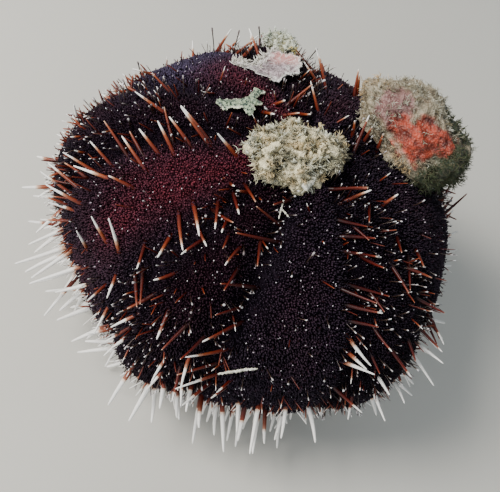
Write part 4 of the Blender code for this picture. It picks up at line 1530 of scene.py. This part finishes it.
def crustPiece():
    rings, sides = crust["rings"], crust["sides"]
    turns = np.arange(sides) * fullTurn / sides
    edge = np.zeros(sides)
    for grain in crust["notches"]:
        edge += noiseAt([(math.cos(turn), math.sin(turn), grain) for turn in turns], grain) / grain**0.45
    edge = crust["reach"] + crust["ragged"] * edge
    for peak, more, width in crust["lobes"]:
        edge += more * hump(turns, peak, width)
    points, rims = [], []
    for lift in crust["sheets"]:
        for ring in range(rings):
            share = (ring + 0.5) / rings
            for turn, reach in zip(turns, edge):
                x = crust["shift"] + share * reach * math.cos(turn)
                y = share * min(reach, 1.2) * math.sin(turn) * 1.25
                wave = 0.28 * share**2 - 0.5 * max(0.0, x)
                for height, grain, layer in crust["waves"]:
                    wave += height * noise.noise(Vector((x * grain, y * grain, layer)))
                bent = turn + 0.7 * noise.noise(Vector((x * 3, y * 3, 9)))
                vein = abs(math.sin(crust["veins"] * bent / 2)) ** 16
                points.append((x, y, wave + 0.10 * vein * share + (1 - 0.8 * share**3) * lift))
                rims.append(min(1.0, 0.10 + share**12 + 0.95 * vein * share + max(0.0, x - 0.10) * 2.4))
    lower = rings * sides
    hub = tuple(range(sides))
    faces = [face[::-1] for face in ringFaces(rings, sides)] + [hub]
    faces += ringFaces(rings, sides, lower) + [tuple(lower + side for side in hub)[::-1]]
    rim = lower - sides
    for side in range(sides):
        other = (side + 1) % sides
        faces.append((rim + other, rim + side, lower + rim + side, lower + rim + other))
    placed = liftClear(loadPlaces(loads["crust"], points), 0.0003)
    made = newObject("crust", placed, faces, crustMaterial())
    x, y = np.array(points).T[:2]
    storeValues(made.data, blush=np.clip(-y * 1.6 - 0.10, 0, 1) * np.clip(0.7 - x * 2, 0, 1), rim=rims)
    white = turfMaterial(
        "crustFringe", (0.62, 0.60, 0.50), (0.95, 0.94, 0.88), (0.45, 0.38, 0.2), (0.45, 0.40, 0.34)
    )
    growOn(
        "crustFringe", made, sprigTemplates("crustThread", *crust["thread"], 2, 1.1), white, "crust",
        {"cover": np.clip(np.array(rims) * 1.9 - 1.0, 0.0, 1), "growth": np.where(x > 0.05, 1.0, 0.42)},
        Spacing=crust["threadSpacing"], Lean=1.0, Smallest=0.5, Largest=1.5, Seed=6,
    )
    finishPiece(made, "crust", "carried_crust")


crustPiece()


tuft = {
    "coreSize": 0.74,
    "form": (0.35, 1.6),
    "folds": ((0.0014, 260), (0.0007, 600)),
    "sprig": (0.0019, 0.00034),  # length and width
    "sprigSpacing": 0.00095,
}


def tuftPiece():
    core = foldedMaterial("tuftCore", (0.20, 0.19, 0.10), (0.70, 0.72, 0.58), (0.86, 0.88, 0.78), 640.0)
    made = lumpObject("tuft", 5, tuft["form"], core, tuft["folds"], tuft["coreSize"])
    points = meshRows(made.data)
    away, clumps = bodyPlaces(points)[2], noiseAt(points, 480)
    ochre = np.clip(-loadShares(loads["tuft"], points)[:, 0] * 2 - 0.4, 0, 0.9)
    pale = turfMaterial(
        "tuftSprigs", (0.52, 0.56, 0.46), (0.88, 0.92, 0.84), (0.50, 0.44, 0.10), (0.34, 0.34, 0.24),
        (0.62, 0.46, 0.07),
    )
    masks = {
        "cover": np.where(away < 0.0008, 0.0, 1.0),
        "growth": np.clip(0.9 + 1.3 * clumps, 0.4, 1.6),
        "warm": ochre * np.clip(0.5 + 3 * clumps, 0, 1),
    }
    growOn(
        "tuftSprigs", made, sprigTemplates("tuftSprig", *tuft["sprig"], 3, 1.0, 0.30, 5), pale, "coral", masks,
        Spacing=tuft["sprigSpacing"], Lean=0.9, Smallest=0.5, Largest=1.2, Seed=12,
    )
    finishPiece(made, "coral", "carried_tuft")


tuftPiece()


def tubeAlong(points, radii, flat, up, sides=10):
    rings = []
    for index, point in enumerate(points):
        ahead = Vector(points[min(index + 1, len(points) - 1)]) - Vector(points[max(index - 1, 0)])
        ahead.normalize()
        side = ahead.cross(Vector(up)).normalized()
        above = side.cross(ahead)
        for x, y in circle(sides):
            rings.append(Vector(point) + side * radii[index] * x + above * radii[index] * flat * y)
    return newObject("run", rings, cappedFaces(len(points), sides))


def blended(name, parts, voxel, material, rough, grain):
    # the tubes flow into one another, and get a rough surface
    made = joinObjects(parts, name)
    remesh = made.modifiers.new("blend", "REMESH")
    remesh.mode = "VOXEL"
    remesh.voxel_size = voxel
    graph = bpy.context.evaluated_depsgraph_get()
    mesh = bpy.data.meshes.new_from_object(made.evaluated_get(graph), depsgraph=graph)
    made.modifiers.remove(remesh)
    made.data = mesh
    mesh.name = name
    mesh.materials.clear()
    mesh.materials.append(material)
    points = meshRows(mesh)
    push = noiseAt(points, grain) + 0.6 * noiseAt(points, grain * 2.7)
    setPoints(mesh, points + meshRows(mesh, "normal") * push[:, None] * rough)
    mesh.shade_smooth()
    return made


weed = {
    "runs": (  # place in shares of the load's half sizes, half width in metres
        (
            (-0.76, -0.10, 0.0009), (-0.58, -0.20, 0.0021), (-0.25, -0.12, 0.0018), (0.08, -0.18, 0.0019),
            (0.40, -0.10, 0.0018), (0.80, 0.05, 0.0007),
        ),
        ((0.26, -0.10, 0.0014), (0.47, 0.38, 0.0013), (0.62, 0.90, 0.0017)),
        ((0.20, -0.18, 0.0015), (0.40, -0.64, 0.0016), (0.46, -1.10, 0.0005)),
        ((-0.50, -0.25, 0.0010), (-0.45, -0.58, 0.0005)),
    ),
    "flatness": 0.32,
    "voxel": 0.00018,
    "rough": (0.00060, 700),  # height and grain
}


def weedMaterial():
    made, tree = newMaterial("weedBlade")
    grain = grainNode(tree, 1150.0, 2600.0)
    pits = contrast(tree, grain["Patches"], 2.6, 0.75)
    green = mixColour(tree, pits, (0.010, 0.035, 0.028), (0.34, 0.42, 0.27))
    rimmed = mixColour(tree, attributeValue(tree, "rim"), green, (0.86, 0.88, 0.66))
    spotted = mixColour(tree, strongest(tree, grain["Specks"], 7.0, 0.9), rimmed, (0.94, 0.93, 0.76))
    return finishMaterial(made, spotted, 0.4, (grain["Height"], 0.8, 0.0005))


def weedPiece():
    load = loads["weed"]
    parts, middles = [], []
    for run in weed["runs"]:
        route = [loadPlaces(load, (x, y, 0.26 + 0.25 * math.sin(4 * x))) for x, y, radius in run]
        radii = [radius for x, y, radius in run]
        parts.append(tubeAlong(route, radii, weed["flatness"], load["axes"][2]))
        for share in np.linspace(0, len(run) - 1, 40):
            spot = [np.interp(share, range(len(run)), np.array(route)[:, axis]) for axis in range(3)]
            middles.append((*spot, np.interp(share, range(len(run)), radii)))
    made = blended("weed", parts, weed["voxel"], weedMaterial(), *weed["rough"])
    middles = np.array(middles)
    away = np.linalg.norm(meshRows(made.data)[:, None] - middles[None, :, :3], axis=2) / middles[:, 3]
    storeValues(made.data, rim=np.clip(away.min(1) * 3.0 - 2.1, 0, 1))
    finishPiece(made, "weed", "carried_weed")


weedPiece()
print("crust, tuft and weed ready")


scraps = {  # small loose bits: azimuth and rise of each bend in degrees, height over the velvet, half width
    "twig": (
        ((277.0, 72.5, 0.0012, 0.00026), (278.0, 70.0, 0.0016, 0.00028), (279.5, 67.0, 0.0012, 0.00018)),
        ((278.0, 70.0, 0.0016, 0.00026), (284.5, 68.5, 0.0014, 0.00016)),
    ),
    "chip": ((
        (284.5, 78.5, 0.0012, 0.00080), (291.0, 77.6, 0.0020, 0.00110), (296.5, 79.3, 0.0020, 0.00070),
        (299.0, 80.8, 0.0016, 0.00095),
    ),),
    "strand": ((
        (283.6, 15.4, 0.0034, 0.00028), (286.0, 18.1, 0.0034, 0.00042), (289.4, 20.7, 0.0030, 0.00040),
        (292.6, 22.1, 0.0030, 0.00026),
    ),),
    "flake": (((36.0, 66.5, 0.0010, 0.0011), (35.0, 63.5, 0.0016, 0.0013), (33.5, 61.5, 0.0010, 0.0006)),),
}
scrapForm = {"flatness": 0.7, "voxel": 0.00014, "rough": (0.00022, 1800)}


def scrapPieces():
    white = crustedMaterial(
        "chalkyBit", (0.50, 0.47, 0.34), (0.88, 0.86, 0.74), (0.95, 0.94, 0.88), 0.75, 900.0, 2500.0, 0.0003,
    )
    for name, runs in scraps.items():
        parts = []
        for run in runs:
            route = [bodyPoints(*np.radians(bend[:2]), bend[2]) for bend in run]
            up = unit(np.mean(route, 0) - middle)
            parts.append(tubeAlong(route, [bend[3] for bend in run], scrapForm["flatness"], up))
        finishPiece(blended(name, parts, scrapForm["voxel"], white, *scrapForm["rough"]), "coral")


scrapPieces()
print("scraps ready")
